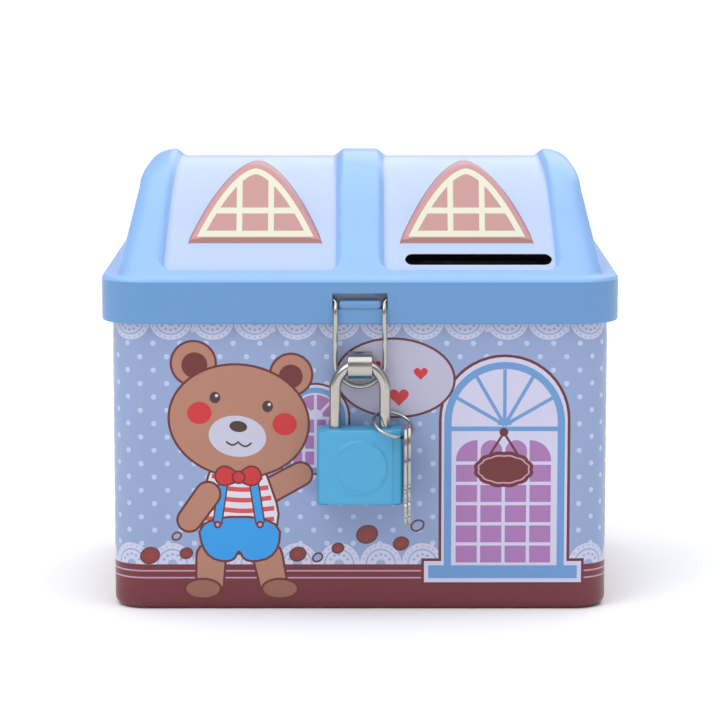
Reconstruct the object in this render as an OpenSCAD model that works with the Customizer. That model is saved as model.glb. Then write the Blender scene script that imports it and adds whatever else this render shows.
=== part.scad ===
// House-shaped tin money box: a seamed body, a hinged roof lid with a coin slot,
// a wire bail that drops over a staple, and a small padlock with two keys on a ring.
// The front faces -Y, +Z is up, and the origin is the middle of the flat base.

/* [Body] */
// Outside width of the body
body_w = 105; // [95:1:115]
// Outside depth of the body
body_d = 78; // [72:1:84]
// Outside radius of the upright corners
corner_r = 7; // [5:0.5:9]
// Thickness of the tinplate
sheet = 0.4; // [0.3:0.05:0.5]
// Height of the wall's top edge, inside the lid
wall_top = 68.6; // [67:0.2:69]
// Radius of the rolled bottom edge
foot_r = 2; // [1.5:0.25:2.5]
// Width of the flat lip turned in under the wall
foot_lip = 3; // [2:0.5:4]

/* [Lid] */
// How far the skirt stands outside the body
overhang = 2.2; // [2:0.1:2.4]
// Height of the skirt's lower edge
skirt_low = 61.5; // [60.5:0.5:62]
// Height of the ledge on top of the skirt
ledge_z = 71.3; // [71:0.1:72]
// Width of the ledge around the foot of the roof
ledge_w = 2.8; // [2.4:0.1:3.2]
// Height of the roof's ribs
roof_top = 95; // [93:0.5:96]
// Radius of the curve over the ridge
ridge_r = 38.4; // [36:0.2:40]
// Radius of the shoulder at the two gable ends
shoulder_r = 7; // [6:0.5:8]
// How far the gable ends lean in
gable_lean = 4.2; // [1:0.1:5]
// How deep the panels lie below the ribs
panel_drop = 1.5; // [1:0.1:2]
// Width of the coin slot
slot_w = 31; // [28:0.5:33]
// Height of the coin slot, along the slope
slot_h = 3; // [2.6:0.1:3.4]

/* [Hinge] */
// Diameter of the hinge wire
hinge_wire_d = 1.5; // [1.2:0.1:1.8]
// Width of the hinge
hinge_w = 31; // [28:1:40]

/* [Bail and staple] */
// Diameter of the bail wire
bail_d = 1; // [0.8:0.1:1.1]
// Distance between the bail's legs
bail_span = 10.2; // [10:0.1:10.6]
// Width of the staple's strap
staple_w = 5.1; // [4.5:0.1:5.4]

/* [Padlock] */
// Width of the padlock's case
lock_w = 18; // [17.5:0.1:18.6]
// Height of the padlock's case
lock_h = 16; // [15.8:0.1:17]
// Thickness of the padlock's case
lock_t = 7.5; // [7.3:0.1:7.6]
// Diameter of the shackle
shackle_d = 2.4; // [2.2:0.1:2.5]
// Distance between the centres of the shackle's legs
shackle_span = 10.4; // [10.2:0.1:10.6]

/* [Keys] */
// Radius of the key ring at the middle of its wire
ring_r = 4.3; // [4.2:0.1:4.4]
// Diameter of the key ring's wire
ring_d = 0.7; // [0.6:0.05:0.8]
// Thickness of a key
key_t = 0.6; // [0.5:0.05:0.6]
// Length of a key from the top of its bow
key_l = 21.6; // [20:0.2:22]

/* [Hidden] */
$fn = 64;
fit = 0.05;
gap = 0.3;
eps = 0.01;

blue = "#8DB8E8";
skirt_blue = "#709FD2";
print_blue = "#9DB4DD";
nickel = "#C9CCCF";
zinc = "#A8ABB0";
lock_cyan = "#5CB6DE";

front_y = -body_d / 2;
skirt_r = corner_r + overhang;
foot_x = body_w / 2 + overhang - ledge_w;
foot_y = body_d / 2 + overhang - ledge_w;

hinge_y = body_d / 2 + overhang + 1.4;
hinge_z = skirt_low - 0.7;
knuckle_r = hinge_wire_d / 2 + fit + 0.5;
lid_knuckle = 9.6;
knuckle_gap = 0.2;
leaf_t = 0.5;

bail_y = front_y - overhang + 1;
bail_z = 66.6;
bail_foot = 3.2;
bail_out_y = front_y - overhang - 0.7;
bail_in_y = front_y - 1.7;
bail_arc_r = 5.2;
bail_arc_z = 53.5;
bail_slot = [2 * 5.8, 64.7, 68.1];
lip_r = 0.8;

lock_y = front_y - gap - lock_t / 2;
lock_top = 40;
lock_low = lock_top - lock_h;
crown_z = lock_top + 8.05;
leg_x = shackle_span / 2;
strap_t = 0.6;
strap_in = [50.95, 54.95];
strap_front = lock_y - shackle_d / 2 - 0.7;
clinch = 3;

jacket_t = 0.8;
cap_t = 1;
core_w = lock_w - 2 * jacket_t - 0.1;
core_t = lock_t - 2 * jacket_t - 0.1;
core_top = lock_top - jacket_t - 0.05;
core_low = lock_low + cap_t + 0.05;
badge_r = 5.8;
badge_t = 0.4;
long_leg_low = 27;
short_leg_low = 35.3;
release = 6;
pin_z = 34;
pin_d = 1;
bolt_z = [35.9, 37.7];
bolt_x = [-3.3, 3.3];
bolt_t = 3;
bolt_mid = (bolt_z[0] + bolt_z[1]) / 2;
plug_r = 2.3;
plug_top = 33.4;
nib_r = 0.4;
nib_at = 0.85;
clip_z = 32;

ring_at = [7, lock_y - 1.2, 40.8];
ring_roll = 15;
ring_pitch = 26;
bow_r = 4.1;
key_hole_r = 1.75;
key_a_at = [9.5, -47.04, 38.69];
key_b_at = [10.3, -46.21, 38.86];

// Points of an arc about [cx, cy], from angle a to angle b
function arc(cx, cy, r, a, b, n = 12) = [for (i = [0:n]) let (t = a + (b - a) * i / n) [cx + r * cos(t), cy + r * sin(t)]];

// Carries an outline right round a rounded rectangle; its x counts from the corner's centre
module around(w, d, r) {
    for (i = [0:3]) {
        across = i % 2 == 0 ? [w, d] : [d, w];
        rotate([0, 0, 90 * i]) {
            translate([across[0] / 2 - r, across[1] / 2 - r, 0]) rotate_extrude(angle = 90) children();
            translate([across[0] / 2 - r, across[1] / 2 - r, 0])
                rotate([90, 0, 0]) linear_extrude(across[1] - 2 * r) children();
        }
    }
}

module rounded_plan(w, d, r) {
    square([w - 2 * r, d], center = true);
    square([w, d - 2 * r], center = true);
    for (x = [-1, 1], y = [-1, 1]) translate([x * (w / 2 - r), y * (d / 2 - r)]) circle(r);
}

// An outline in the Y-Z plane, carried along X
module along_x(length) {
    translate([-length / 2, 0, 0]) rotate([90, 0, 90]) linear_extrude(length) children();
}

// An outline in the X-Z plane, carried along Y
module along_y(length) {
    translate([0, length / 2, 0]) rotate([90, 0, 0]) linear_extrude(length) children();
}

// A wire through a list of points, with round bends
module wire(points, d) {
    for (i = [0:len(points) - 2]) {
        run = points[i + 1] - points[i];
        turn = atan2(norm([run[0], run[1]]), run[2]);
        translate(points[i]) rotate([0, turn, atan2(run[1], run[0])]) cylinder(d = d, h = norm(run), $fn = 32);
    }
    for (p = points) translate(p) sphere(d = 1.02 * d, $fn = 32);
}

// A coil of wire standing on Z
module coil(r, d, height, turns) {
    sides = 8;
    steps = 14 * turns;
    points = [for (i = [0:steps], j = [0:sides - 1])
        let (a = 360 * turns * i / steps, b = 360 * j / sides, q = r + d / 2 * cos(b))
        [q * cos(a), q * sin(a), d / 2 + (height - d) * i / steps + d / 2 * sin(b)]];
    walls = [for (i = [0:steps - 1], j = [0:sides - 1]) let (k = (j + 1) % sides)
        [i * sides + j, (i + 1) * sides + j, (i + 1) * sides + k, i * sides + k]];
    ends = [[for (j = [0:sides - 1]) j], [for (j = [sides - 1:-1:0]) steps * sides + j]];
    polyhedron(points, concat(walls, ends));
}

// Body

module wall_outline() {
    r = corner_r;
    polygon(concat(
        [[r, wall_top], [r - 2 * sheet, wall_top], [r - 2 * sheet, wall_top - 2.5]],
        [[r - sheet, wall_top - 2.5]],
        arc(r - foot_r, foot_r, foot_r - sheet, 0, -90, 6),
        [[r - foot_r - foot_lip, sheet], [r - foot_r - foot_lip, 0]],
        arc(r - foot_r, foot_r, foot_r, -90, 0, 6)
    ));
}

module body_wall() {
    color(print_blue) difference() {
        union() {
            around(body_w, body_d, corner_r) wall_outline();
            // Lock seam up the middle of the back
            translate([0, body_d / 2 - sheet - 0.4, (wall_top + foot_r) / 2 - 1])
                cube([5, 1, wall_top - foot_r - 8], center = true);
        }
        // Slots for the staple's legs
        for (z = [strap_in[0] - strap_t, strap_in[1]])
            translate([-staple_w / 2 - fit, front_y - 1, z - fit])
                cube([staple_w + 2 * fit, 2, strap_t + 2 * fit]);
    }
}

module base_panel() {
    step_w = foot_r + foot_lip + gap;
    edge = 2 * (foot_r + 0.1);
    color(zinc) difference() {
        union() {
            linear_extrude(2 * sheet) rounded_plan(body_w - 2 * step_w, body_d - 2 * step_w, 3);
            translate([0, 0, sheet + eps])
                linear_extrude(sheet) rounded_plan(body_w - edge, body_d - edge, corner_r - edge / 2);
        }
        translate([0, 0, sheet]) linear_extrude(3)
            rounded_plan(body_w - 2 * step_w - 2 * sheet, body_d - 2 * step_w - 2 * sheet, 2.6);
    }
}

module staple() {
    mid = (strap_in[0] + strap_in[1]) / 2;
    half = (strap_in[1] - strap_in[0]) / 2;
    bend = 1.8;
    inside = front_y + sheet + fit;
    // One side of the strap, from its nose to its clinched end and back
    side = concat(
        arc(strap_front + bend, half - bend, bend + strap_t, 180, 90, 6),
        [[inside, half + strap_t], [inside, half + clinch], [inside + strap_t, half + clinch]],
        [[inside + strap_t, half]], arc(strap_front + bend, half - bend, bend, 90, 180, 6)
    );
    outer = [for (i = [0:8]) side[i]];
    inner = [for (i = [9:len(side) - 1]) side[i]];
    color(nickel) translate([0, 0, mid]) along_x(staple_w) polygon(concat(
        outer, inner, [for (i = [len(inner) - 1:-1:0]) [inner[i][0], -inner[i][1]]],
        [for (i = [len(outer) - 1:-1:0]) [outer[i][0], -outer[i][1]]]
    ));
}

// Hinge

// Upright leaf and one rolled knuckle, as an outline of Y and Z
module knuckle_outline(leaf_y, from_z, to_z, up) {
    difference() {
        union() {
            translate([hinge_y, hinge_z]) circle(knuckle_r);
            polygon([
                [leaf_y, to_z], [leaf_y, from_z], [leaf_y + leaf_t, from_z],
                [hinge_y + knuckle_r * 0.6, hinge_z + up * knuckle_r * 0.8],
                [hinge_y - knuckle_r * 0.6, hinge_z + up * knuckle_r * 0.8], [leaf_y + leaf_t / 2, to_z]
            ]);
        }
        translate([hinge_y, hinge_z]) circle(hinge_wire_d / 2 + fit);
    }
}

module hinge_leaf_body() {
    leaf_y = body_d / 2 + eps;
    side = (hinge_w - lid_knuckle) / 2 - knuckle_gap;
    color(nickel) {
        translate([-hinge_w / 2, leaf_y, hinge_z - 14]) cube([hinge_w, leaf_t, 10.2]);
        for (s = [-1, 1]) translate([s * (hinge_w - side) / 2, 0, 0])
            along_x(side) knuckle_outline(leaf_y, hinge_z - 6, hinge_z - 3.5, -1);
    }
}

module hinge_leaf_lid() {
    leaf_y = body_d / 2 + overhang + eps;
    color(nickel) {
        translate([-hinge_w / 2, leaf_y, hinge_z + 1.7]) cube([hinge_w, leaf_t, 7]);
        along_x(lid_knuckle) knuckle_outline(leaf_y, hinge_z + 2.6, hinge_z + 1.7, 1);
    }
}

module hinge_wire() {
    color(nickel) translate([0, hinge_y, hinge_z]) rotate([0, 90, 0]) {
        cylinder(d = hinge_wire_d, h = hinge_w + 1, center = true);
        for (s = [-1, 1]) translate([0, 0, s * (hinge_w / 2 + 0.5)])
            cylinder(d = hinge_wire_d + 0.5, h = 0.6, center = true);
    }
}

// Lid

// Slope and ridge as an outline of Y and Z, drop below the ribs
module ridge_outline(drop) {
    r = ridge_r - drop;
    c = roof_top - ridge_r;
    low = ledge_z - 3;
    run = r * sin(45) + c + r * cos(45) - low;
    polygon(concat([[run, low]], arc(0, c, r, 45, 135, 18), [[-run, low]]));
}

module gable_outline(inset) {
    r = shoulder_r - inset;
    x = foot_x - gable_lean - shoulder_r;
    z = roof_top - shoulder_r;
    polygon(concat(
        [[foot_x - inset, ledge_z - 3]], arc(x, z, r, 0, 90, 9),
        arc(-x, z, r, 90, 180, 9), [[-foot_x + inset, ledge_z - 3]]
    ));
}

// Ranges of X, and the lowest height, of the two sunk panels
panels = [[-42, -4.3], [4.3, 42]];
panel_low = ledge_z + 1.7;

// A dormer's arch: full below, straight up the sides and round at the top
dormer_x = [-22.2, 22.6];
dormer_base = ledge_z + 6.6;
dormer_h = 15.9;
dormer_half = 14;
dormer_y = -31.3;
dormer_tilt = 27;
function arch(half, h, n = 14) = [for (i = [0:n]) let (t = 1 - pow(1 - i / n, 2))
    [half * pow(max(1 - pow(t, 1.25), 0), 0.42), h * t]];

module dormer(x, inset) {
    side = arch(dormer_half - inset, dormer_h - inset);
    other = [for (i = [len(side) - 2:-1:0]) [-side[i][0], side[i][1]]];
    difference() {
        translate([x, dormer_y / 2 - 1, dormer_base]) along_y(-dormer_y + 2)
            polygon(concat([[0, -3], [dormer_half - inset, -3]], side, other, [[-dormer_half + inset, -3]]));
        // The face leans back with the roof
        translate([x, dormer_y + inset, dormer_base]) rotate([-dormer_tilt, 0, 0])
            translate([-20, -20, -20]) cube([40, 20, 60]);
    }
}

module roof(inset) {
    intersection() {
        along_y(body_d + 10) gable_outline(inset);
        translate([0, 0, ledge_z - 2])
            linear_extrude(40) rounded_plan(2 * (foot_x - inset), 2 * (foot_y - inset), corner_r - inset);
        union() {
            difference() {
                along_x(body_w) ridge_outline(inset);
                for (p = panels) translate([p[0] - inset, -50, panel_low - inset])
                    cube([p[1] - p[0] + 2 * inset, 100, 40]);
            }
            along_x(body_w - 10) ridge_outline(panel_drop + inset);
            for (x = dormer_x) dormer(x, inset);
        }
    }
}

module skirt_outline() {
    r = skirt_r;
    inner = r - ledge_w - sheet;
    polygon(concat(
        [[r, skirt_low]], arc(r - 0.8, ledge_z - 0.8, 0.8, 0, 90, 4),
        [[inner, ledge_z], [inner, ledge_z - sheet]],
        arc(r - 0.8, ledge_z - 0.8, 0.8 - sheet, 90, 0, 4), [[r - sheet, skirt_low]]
    ));
}

module lid_shell() {
    color(blue) {
        difference() {
            union() {
                around(body_w + 2 * overhang, body_d + 2 * overhang, skirt_r) skirt_outline();
                intersection() {
                    difference() {
                        roof(0);
                        roof(sheet);
                    }
                    translate([-60, -50, ledge_z - sheet]) cube([120, 100, 40]);
                }
            }
            // Slot for the bail's legs
            translate([-bail_slot[0] / 2, front_y - overhang - 1, bail_slot[1]])
                cube([bail_slot[0], 2, bail_slot[2] - bail_slot[1]]);
            // Coin slot, square to the slope
            translate([25, -foot_y + 4.1, ledge_z + 3.2]) rotate([45, 0, 0])
                linear_extrude(8, center = true) {
                    square([slot_w - slot_h, slot_h], center = true);
                    for (s = [-1, 1]) translate([s * (slot_w - slot_h) / 2, 0]) circle(d = slot_h);
                }
        }
        // Rolled lip between the bail's legs
        translate([-4.2, front_y - overhang + 0.35, bail_slot[1] + 0.5]) rotate([0, 90, 0])
            cylinder(r = lip_r, h = 8.4);
    }
}

// Bail

module bail_wire() {
    leg = bail_span / 2;
    color(nickel) {
        for (s = [-1, 1]) wire([
            [s * (leg + bail_foot), bail_y, bail_z], [s * leg, bail_y, bail_z],
            [s * leg, bail_out_y, bail_z - 1.9], [s * leg, bail_out_y, skirt_low + 0.4],
            [s * bail_arc_r, bail_in_y, skirt_low - 3.5], [s * bail_arc_r, bail_in_y, bail_arc_z]
        ], bail_d);
        translate([0, bail_in_y, bail_arc_z]) rotate([90, 0, 0]) rotate([0, 0, 180])
            rotate_extrude(angle = 180) translate([bail_arc_r, 0]) circle(d = bail_d, $fn = 32);
    }
}

// Padlock

module shackle() {
    color(nickel) translate([0, lock_y, 0]) difference() {
        union() {
            translate([0, 0, crown_z]) rotate([90, 0, 0])
                rotate_extrude(angle = 180) translate([leg_x, 0]) circle(d = shackle_d);
            translate([leg_x, 0, long_leg_low]) cylinder(d = shackle_d, h = crown_z - long_leg_low);
            translate([-leg_x, 0, short_leg_low]) cylinder(d = shackle_d, h = crown_z - short_leg_low);
        }
        // Notch for the locking bolt
        translate([-leg_x, -2, bolt_z[0] - 0.15]) cube([2, 4, bolt_z[1] - bolt_z[0] + 0.3]);
        // Groove that runs past the retaining pin
        translate([leg_x - 2.6, -2, pin_z - release - pin_d / 2 - 0.1])
            cube([2, 4, release + pin_d + 0.3]);
    }
}

module lock_block(inset, low) {
    r = 1.2 - inset;
    translate([0, lock_y + lock_t / 2 - inset, low]) rotate([90, 0, 0])
        linear_extrude(lock_t - 2 * inset) translate([0, (lock_top - inset - low) / 2])
            rounded_plan(lock_w - 2 * inset, lock_top - inset - low, r);
}

module shackle_holes() {
    translate([leg_x, lock_y, long_leg_low - 1.6]) cylinder(d = shackle_d + 2 * fit, h = 20);
    translate([-leg_x, lock_y, short_leg_low - 0.4]) cylinder(d = shackle_d + 2 * fit, h = 20);
}

module lock_jacket() {
    color(lock_cyan) difference() {
        union() {
            lock_block(0, lock_low);
            // Raised badge on the front
            translate([0, lock_y - lock_t / 2 + eps, lock_low + lock_h / 2]) rotate([90, 0, 0])
                cylinder(r = badge_r, h = badge_t);
        }
        translate([-core_w / 2 - fit, lock_y - core_t / 2 - fit, lock_low - 1])
            cube([core_w + 2 * fit, core_t + 2 * fit, core_top - lock_low + 1 + fit]);
        translate([leg_x, lock_y, 35]) cylinder(d = shackle_d + 4 * fit, h = 10);
        translate([-leg_x, lock_y, 35]) cylinder(d = shackle_d + 4 * fit, h = 10);
    }
}

module lock_core() {
    color(zinc) difference() {
        translate([-core_w / 2, lock_y - core_t / 2, core_low]) cube([core_w, core_t, core_top - core_low]);
        shackle_holes();
        translate([0, lock_y, core_low - 1]) cylinder(r = plug_r + fit, h = plug_top - core_low + 1.1);
        translate([0, lock_y, clip_z - 0.3]) cylinder(r = plug_r + 0.3, h = 0.6);
        // Room for the plug's nib, and the channel of the bolt
        translate([0, lock_y, plug_top - 1]) cylinder(r = 1.75, h = bolt_z[0] - plug_top + 1.5);
        translate([-leg_x, lock_y - bolt_t / 2 - fit, bolt_z[0] - fit])
            cube([leg_x + 3.5, bolt_t + 2 * fit, bolt_z[1] - bolt_z[0] + 2 * fit]);
        translate([leg_x - 1.1, lock_y, pin_z]) rotate([90, 0, 0])
            cylinder(d = pin_d + 2 * fit, h = core_t + 1, center = true);
    }
}

module lock_bottom_cap() {
    color(lock_cyan) difference() {
        translate([-core_w / 2, lock_y - core_t / 2, lock_low]) cube([core_w, core_t, cap_t]);
        translate([0, lock_y, lock_low - 1]) cylinder(r = plug_r + 0.1, h = cap_t + 2);
    }
}

module shackle_spring() {
    color(nickel) translate([leg_x, lock_y, long_leg_low - 1.55]) coil(0.85, 0.4, 1.5, 3);
}

module shackle_retaining_pin() {
    color(zinc) translate([leg_x - 1.1, lock_y, pin_z]) rotate([90, 0, 0])
        cylinder(d = pin_d, h = core_t - 0.1, center = true);
}

module bolt_spring() {
    color(nickel) translate([bolt_x[1] - 1.75, lock_y, bolt_mid]) rotate([0, 90, 0])
        coil(0.6, 0.3, 1.85, 3);
}

module plug_clip() {
    color(nickel) translate([0, lock_y, clip_z - 0.2]) rotate([0, 0, 45])
        rotate_extrude(angle = 270) translate([plug_r - 0.35, 0]) square([0.6, 0.4]);
}

module locking_bolt() {
    color(zinc) difference() {
        translate([bolt_x[0], lock_y - bolt_t / 2, bolt_z[0]])
            cube([bolt_x[1] - bolt_x[0], bolt_t, bolt_z[1] - bolt_z[0]]);
        // Groove for the plug's nib
        translate([nib_at - nib_r - 0.12, lock_y - bolt_t, bolt_z[0] - 1])
            cube([2 * nib_r + 0.24, bolt_t + nib_at, 2.1]);
        // Blind hole for the spring
        translate([bolt_x[1] - 1.8, lock_y, bolt_mid]) rotate([0, 90, 0]) cylinder(r = 0.8, h = 2);
    }
}

module plug() {
    color("#B9A36A") translate([0, lock_y, 0]) difference() {
        union() {
            translate([0, 0, lock_low + 0.1]) cylinder(r = plug_r, h = plug_top - lock_low - 0.1);
            translate([nib_at, -nib_at, plug_top - 1]) cylinder(r = nib_r, h = bolt_z[0] - plug_top + 1.8);
        }
        // Keyway
        translate([-0.5, -1.6, lock_low - 1]) cube([1, 3.2, plug_top - lock_low - 0.6]);
        for (z = wafer_z) translate([0, 0, z]) cube([2.1, 4.0, 0.6], center = true);
        // Groove for the clip
        translate([0, 0, clip_z - 0.25]) difference() {
            cylinder(r = plug_r + 1, h = 0.5);
            cylinder(r = plug_r - 0.4, h = 0.5);
        }
    }
}

wafer_z = [26.6, 28.3, 30];

module wafers() {
    color("#B9A36A") for (i = [0:len(wafer_z) - 1]) translate([0, lock_y, wafer_z[i]]) difference() {
        cube([2, 3.9, 0.5], center = true);
        translate([0, 0.2 * (i - 1), 0]) cube([1.1, 2.4, 2], center = true);
    }
}

// Keys

module key_ring() {
    color(nickel) translate(ring_at) rotate([ring_pitch, 0, 0]) rotate([0, ring_roll, 0])
        rotate_extrude() translate([ring_r, 0]) circle(d = ring_d, $fn = 24);
}

// A flat key hung by its bow, as an outline of Y and Z below the wire
module key(at, teeth) {
    bow_z = -bow_r + key_hole_r + 1.1;
    neck = 1.5;
    tip = bow_r + bow_z - key_l;
    depth = [for (i = [0:len(teeth) - 1]) [-neck + teeth[i], tip + 2 + 1.45 * i]];
    color(nickel) translate([at[0], at[1], at[2] - 0.3]) difference() {
        union() {
            translate([0, 0, bow_z]) rotate([0, 90, 0]) cylinder(r = bow_r, h = key_t, center = true);
            along_x(key_t) polygon(concat(
                [[neck, bow_z - 3], [neck, tip + 1.2], [0.2, tip], [-0.6, tip + 0.2]],
                [for (p = depth, s = [0, 0.7]) [p[0], p[1] + s]], [[-neck, bow_z - 3]]
            ));
        }
        rotate([0, 90, 0]) cylinder(r = key_hole_r, h = 3, center = true);
        // Groove milled down one flank of the blade
        translate([key_t / 2 - 0.2, 0.1, tip + 1.5]) cube([1, 0.6, 10]);
    }
}

module key_a() {
    key(key_a_at, [0.5, 0, 0.7, 0.2, 0.6]);
}

module key_b() {
    key(key_b_at, [0.5, 0, 0.7, 0.2, 0.6]);
}

body_wall();
base_panel();
staple();
hinge_leaf_body();
hinge_wire();
lid_shell();
hinge_leaf_lid();
bail_wire();
shackle();
lock_jacket();
lock_core();
lock_bottom_cap();
shackle_spring();
shackle_retaining_pin();
bolt_spring();
plug_clip();
locking_bolt();
plug();
wafers();
key_ring();
key_a();
key_b();
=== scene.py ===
import math
import bpy
import numpy as np
from mathutils import Matrix, Vector
from mathutils.geometry import delaunay_2d_cdt


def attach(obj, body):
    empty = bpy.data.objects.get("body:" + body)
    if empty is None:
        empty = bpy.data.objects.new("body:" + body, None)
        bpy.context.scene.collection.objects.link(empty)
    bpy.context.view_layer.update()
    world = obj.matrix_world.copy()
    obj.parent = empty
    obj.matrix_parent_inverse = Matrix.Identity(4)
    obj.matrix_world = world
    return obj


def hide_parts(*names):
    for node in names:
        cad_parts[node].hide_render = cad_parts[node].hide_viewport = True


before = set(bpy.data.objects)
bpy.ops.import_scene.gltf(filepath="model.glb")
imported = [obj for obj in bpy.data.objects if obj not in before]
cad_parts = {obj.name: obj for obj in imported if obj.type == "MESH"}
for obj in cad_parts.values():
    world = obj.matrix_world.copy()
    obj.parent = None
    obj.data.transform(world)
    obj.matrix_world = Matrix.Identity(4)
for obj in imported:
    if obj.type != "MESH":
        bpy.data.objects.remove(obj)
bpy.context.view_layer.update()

mm = 0.001
root2 = math.sqrt(2)


def linear(hexColour):
    # an sRGB hex value as linear RGBA
    channels = [int(hexColour[i:i + 2], 16) / 255 for i in (1, 3, 5)]
    return [c / 12.92 if c <= 0.04045 else ((c + 0.055) / 1.055) ** 2.4 for c in channels] + [1]


def addNode(material, kind, settings=None, values=None, links=None):
    # settings are properties, values are socket values, links are (socket, other node, its output)
    node = material.node_tree.nodes.new(kind)
    for key, value in (settings or {}).items():
        setattr(node, key, value)
    for socket, value in (values or {}).items():
        node.inputs[socket].default_value = value
    for socket, other, output in (links or []):
        material.node_tree.links.new(other.outputs[output], node.inputs[socket])
    return node


def newMaterial(name, shader):
    material = bpy.data.materials.new(name)
    material.use_nodes = True
    surface = material.node_tree.nodes["Principled BSDF"]
    for socket, value in shader.items():
        surface.inputs[socket].default_value = value
    return material, surface


def addRelief(material, surface, grainMm, depthMm, roughFrom, roughTo, cloudMm=6.0):
    # fine bump of a real grain size, and a slow drift of roughness as handling leaves it
    links = material.node_tree.links
    place = addNode(material, "ShaderNodeTexCoord")
    grain = addNode(material, "ShaderNodeTexNoise", values={"Scale": 1 / (grainMm * mm), "Detail": 2.0},
                    links=[("Vector", place, "Object")])
    bump = addNode(material, "ShaderNodeBump", values={"Strength": 0.35, "Distance": depthMm * mm},
                   links=[("Height", grain, "Fac")])
    links.new(bump.outputs["Normal"], surface.inputs["Normal"])
    cloud = addNode(material, "ShaderNodeTexNoise", values={"Scale": 1 / (cloudMm * mm), "Detail": 3.0},
                    links=[("Vector", place, "Object")])
    drift = addNode(material, "ShaderNodeMapRange",
                    values={"From Min": 0.3, "From Max": 0.7, "To Min": roughFrom, "To Max": roughTo},
                    links=[("Value", cloud, "Fac")])
    links.new(drift.outputs["Result"], surface.inputs["Roughness"])


inkColours = {
    "rimBlue": "#5C8FC2", "ribBlue": "#86B3EA", "panelBlue": "#AEC1ED", "terracotta": "#C18A8B",
    # the darker terracotta that opens the next line is painted shade, laid in the crease where each dormer's
    # hood meets the panel
    "terracottaEdge": "#9C6764", "windowCream": "#DFDFC8", "paneRose": "#C08F8C",
    "wallBlue": "#8A9DC4", "dotBlue": "#B5C0DF", "laceWhite": "#C3C5DC", "bandMaroon": "#691020",
    "lineRose": "#C092AE", "outlineMaroon": "#5E0B17", "doorBlue": "#6091C6", "doorWhite": "#C7C4DD",
    "paneViolet": "#9F6CA8", "bubbleGrey": "#B3B1C8", "heartRed": "#C4111A", "bearTan": "#AB755F",
    "bearShade": "#8E5A46", "earMaroon": "#650B11", "muzzleGrey": "#BEBED1", "noseBrown": "#3A1A18",
    "trouserBlue": "#1192DC", "ovalBrown": "#792729", "stoneRed": "#8E2321", "signMaroon": "#650A14",
    "laceGap": "#90A4CA", "shirtWhite": "#DAD1DD", "stripeRed": "#C4444E",
}
inks = {}


def ink(name):
    # litho ink on tinplate under clear roller varnish: even colour, soft gloss, faint orange peel
    if name not in inks:
        material, surface = newMaterial("ink_" + name, {
            "Base Color": linear(inkColours[name]), "Metallic": 0.0, "IOR": 1.5,
            "Coat Weight": 0.35, "Coat Roughness": 0.16, "Coat IOR": 1.5})
        addRelief(material, surface, 0.5, 0.004, 0.38, 0.48)
        inks[name] = material
    return inks[name]


def tinplateBright():
    # cold-rolled steel with a flow-brightened tin coat: grey-white, faint rolling lines, soft mirror
    material, surface = newMaterial("tinplate_bright", {"Base Color": linear("#C6C8C6"), "Metallic": 1.0})
    addRelief(material, surface, 0.3, 0.003, 0.24, 0.36)
    return material


def tinplateLacquered():
    # the inside of a printed tin: clear gold stoving lacquer over bright tinplate
    material, surface = newMaterial("tinplate_gold_lacquer", {
        "Base Color": linear("#DCCFA4"), "Metallic": 1.0, "Coat Weight": 0.3, "Coat Roughness": 0.2})
    addRelief(material, surface, 0.6, 0.004, 0.34, 0.46)
    return material


def nickelPlated():
    # drawn steel wire, nickel plated: warm white metal, nearly a mirror, with fine draw marks
    material, surface = newMaterial("steel_nickel_plated", {"Base Color": linear("#B3B0AA"), "Metallic": 1.0})
    addRelief(material, surface, 0.25, 0.004, 0.13, 0.26, cloudMm=2.0)
    return material


def absCyan():
    # injection-moulded ABS, satin tool finish: a little light goes in, soft broad highlights
    material, surface = newMaterial("abs_cyan_moulded", {
        "Base Color": linear("#43A1CC"), "IOR": 1.54, "Subsurface Weight": 0.06,
        "Subsurface Scale": 0.4 * mm, "Subsurface Radius": (0.4, 0.8, 1.0)})
    addRelief(material, surface, 0.18, 0.01, 0.3, 0.4)
    return material


def zincCast():
    # die-cast zinc alloy, as cast: dull grey with a fine grain
    material, surface = newMaterial("zinc_die_cast", {"Base Color": linear("#8F9296"), "Metallic": 1.0})
    addRelief(material, surface, 0.3, 0.02, 0.42, 0.58)
    return material


def brassTurned():
    # turned free-cutting brass: yellow metal, clean, softly reflecting
    material, surface = newMaterial("brass_turned", {"Base Color": linear("#C9A65A"), "Metallic": 1.0})
    addRelief(material, surface, 0.2, 0.006, 0.22, 0.34)
    return material


finishes = {"tin": tinplateBright(), "gold": tinplateLacquered(), "nickel": nickelPlated(),
            "abs": absCyan(), "zinc": zincCast(), "brass": brassTurned()}


def newPiece(name, verts, faces, normals, materials, body, replaces=(), faceSlots=None):
    # verts in millimetres; normals, one for each vertex, keep a formed sheet's true curve
    mesh = bpy.data.meshes.new(name)
    mesh.from_pydata([(x * mm, y * mm, z * mm) for x, y, z in verts], [], faces)
    for material in materials:
        mesh.materials.append(material)
    if faceSlots is not None:
        mesh.polygons.foreach_set("material_index", faceSlots)
    mesh.polygons.foreach_set("use_smooth", [True] * len(mesh.polygons))
    mesh.update()
    mesh.normals_split_custom_set_from_vertices([tuple(n) for n in normals])
    piece = bpy.data.objects.new(name, mesh)
    bpy.context.scene.collection.objects.link(piece)
    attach(piece, body)
    if replaces:
        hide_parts(*replaces)
    return piece


def finishNode(node, material):
    # a CAD node that keeps its shape gets its real finish
    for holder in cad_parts[node].material_slots:
        holder.material = material


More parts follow.
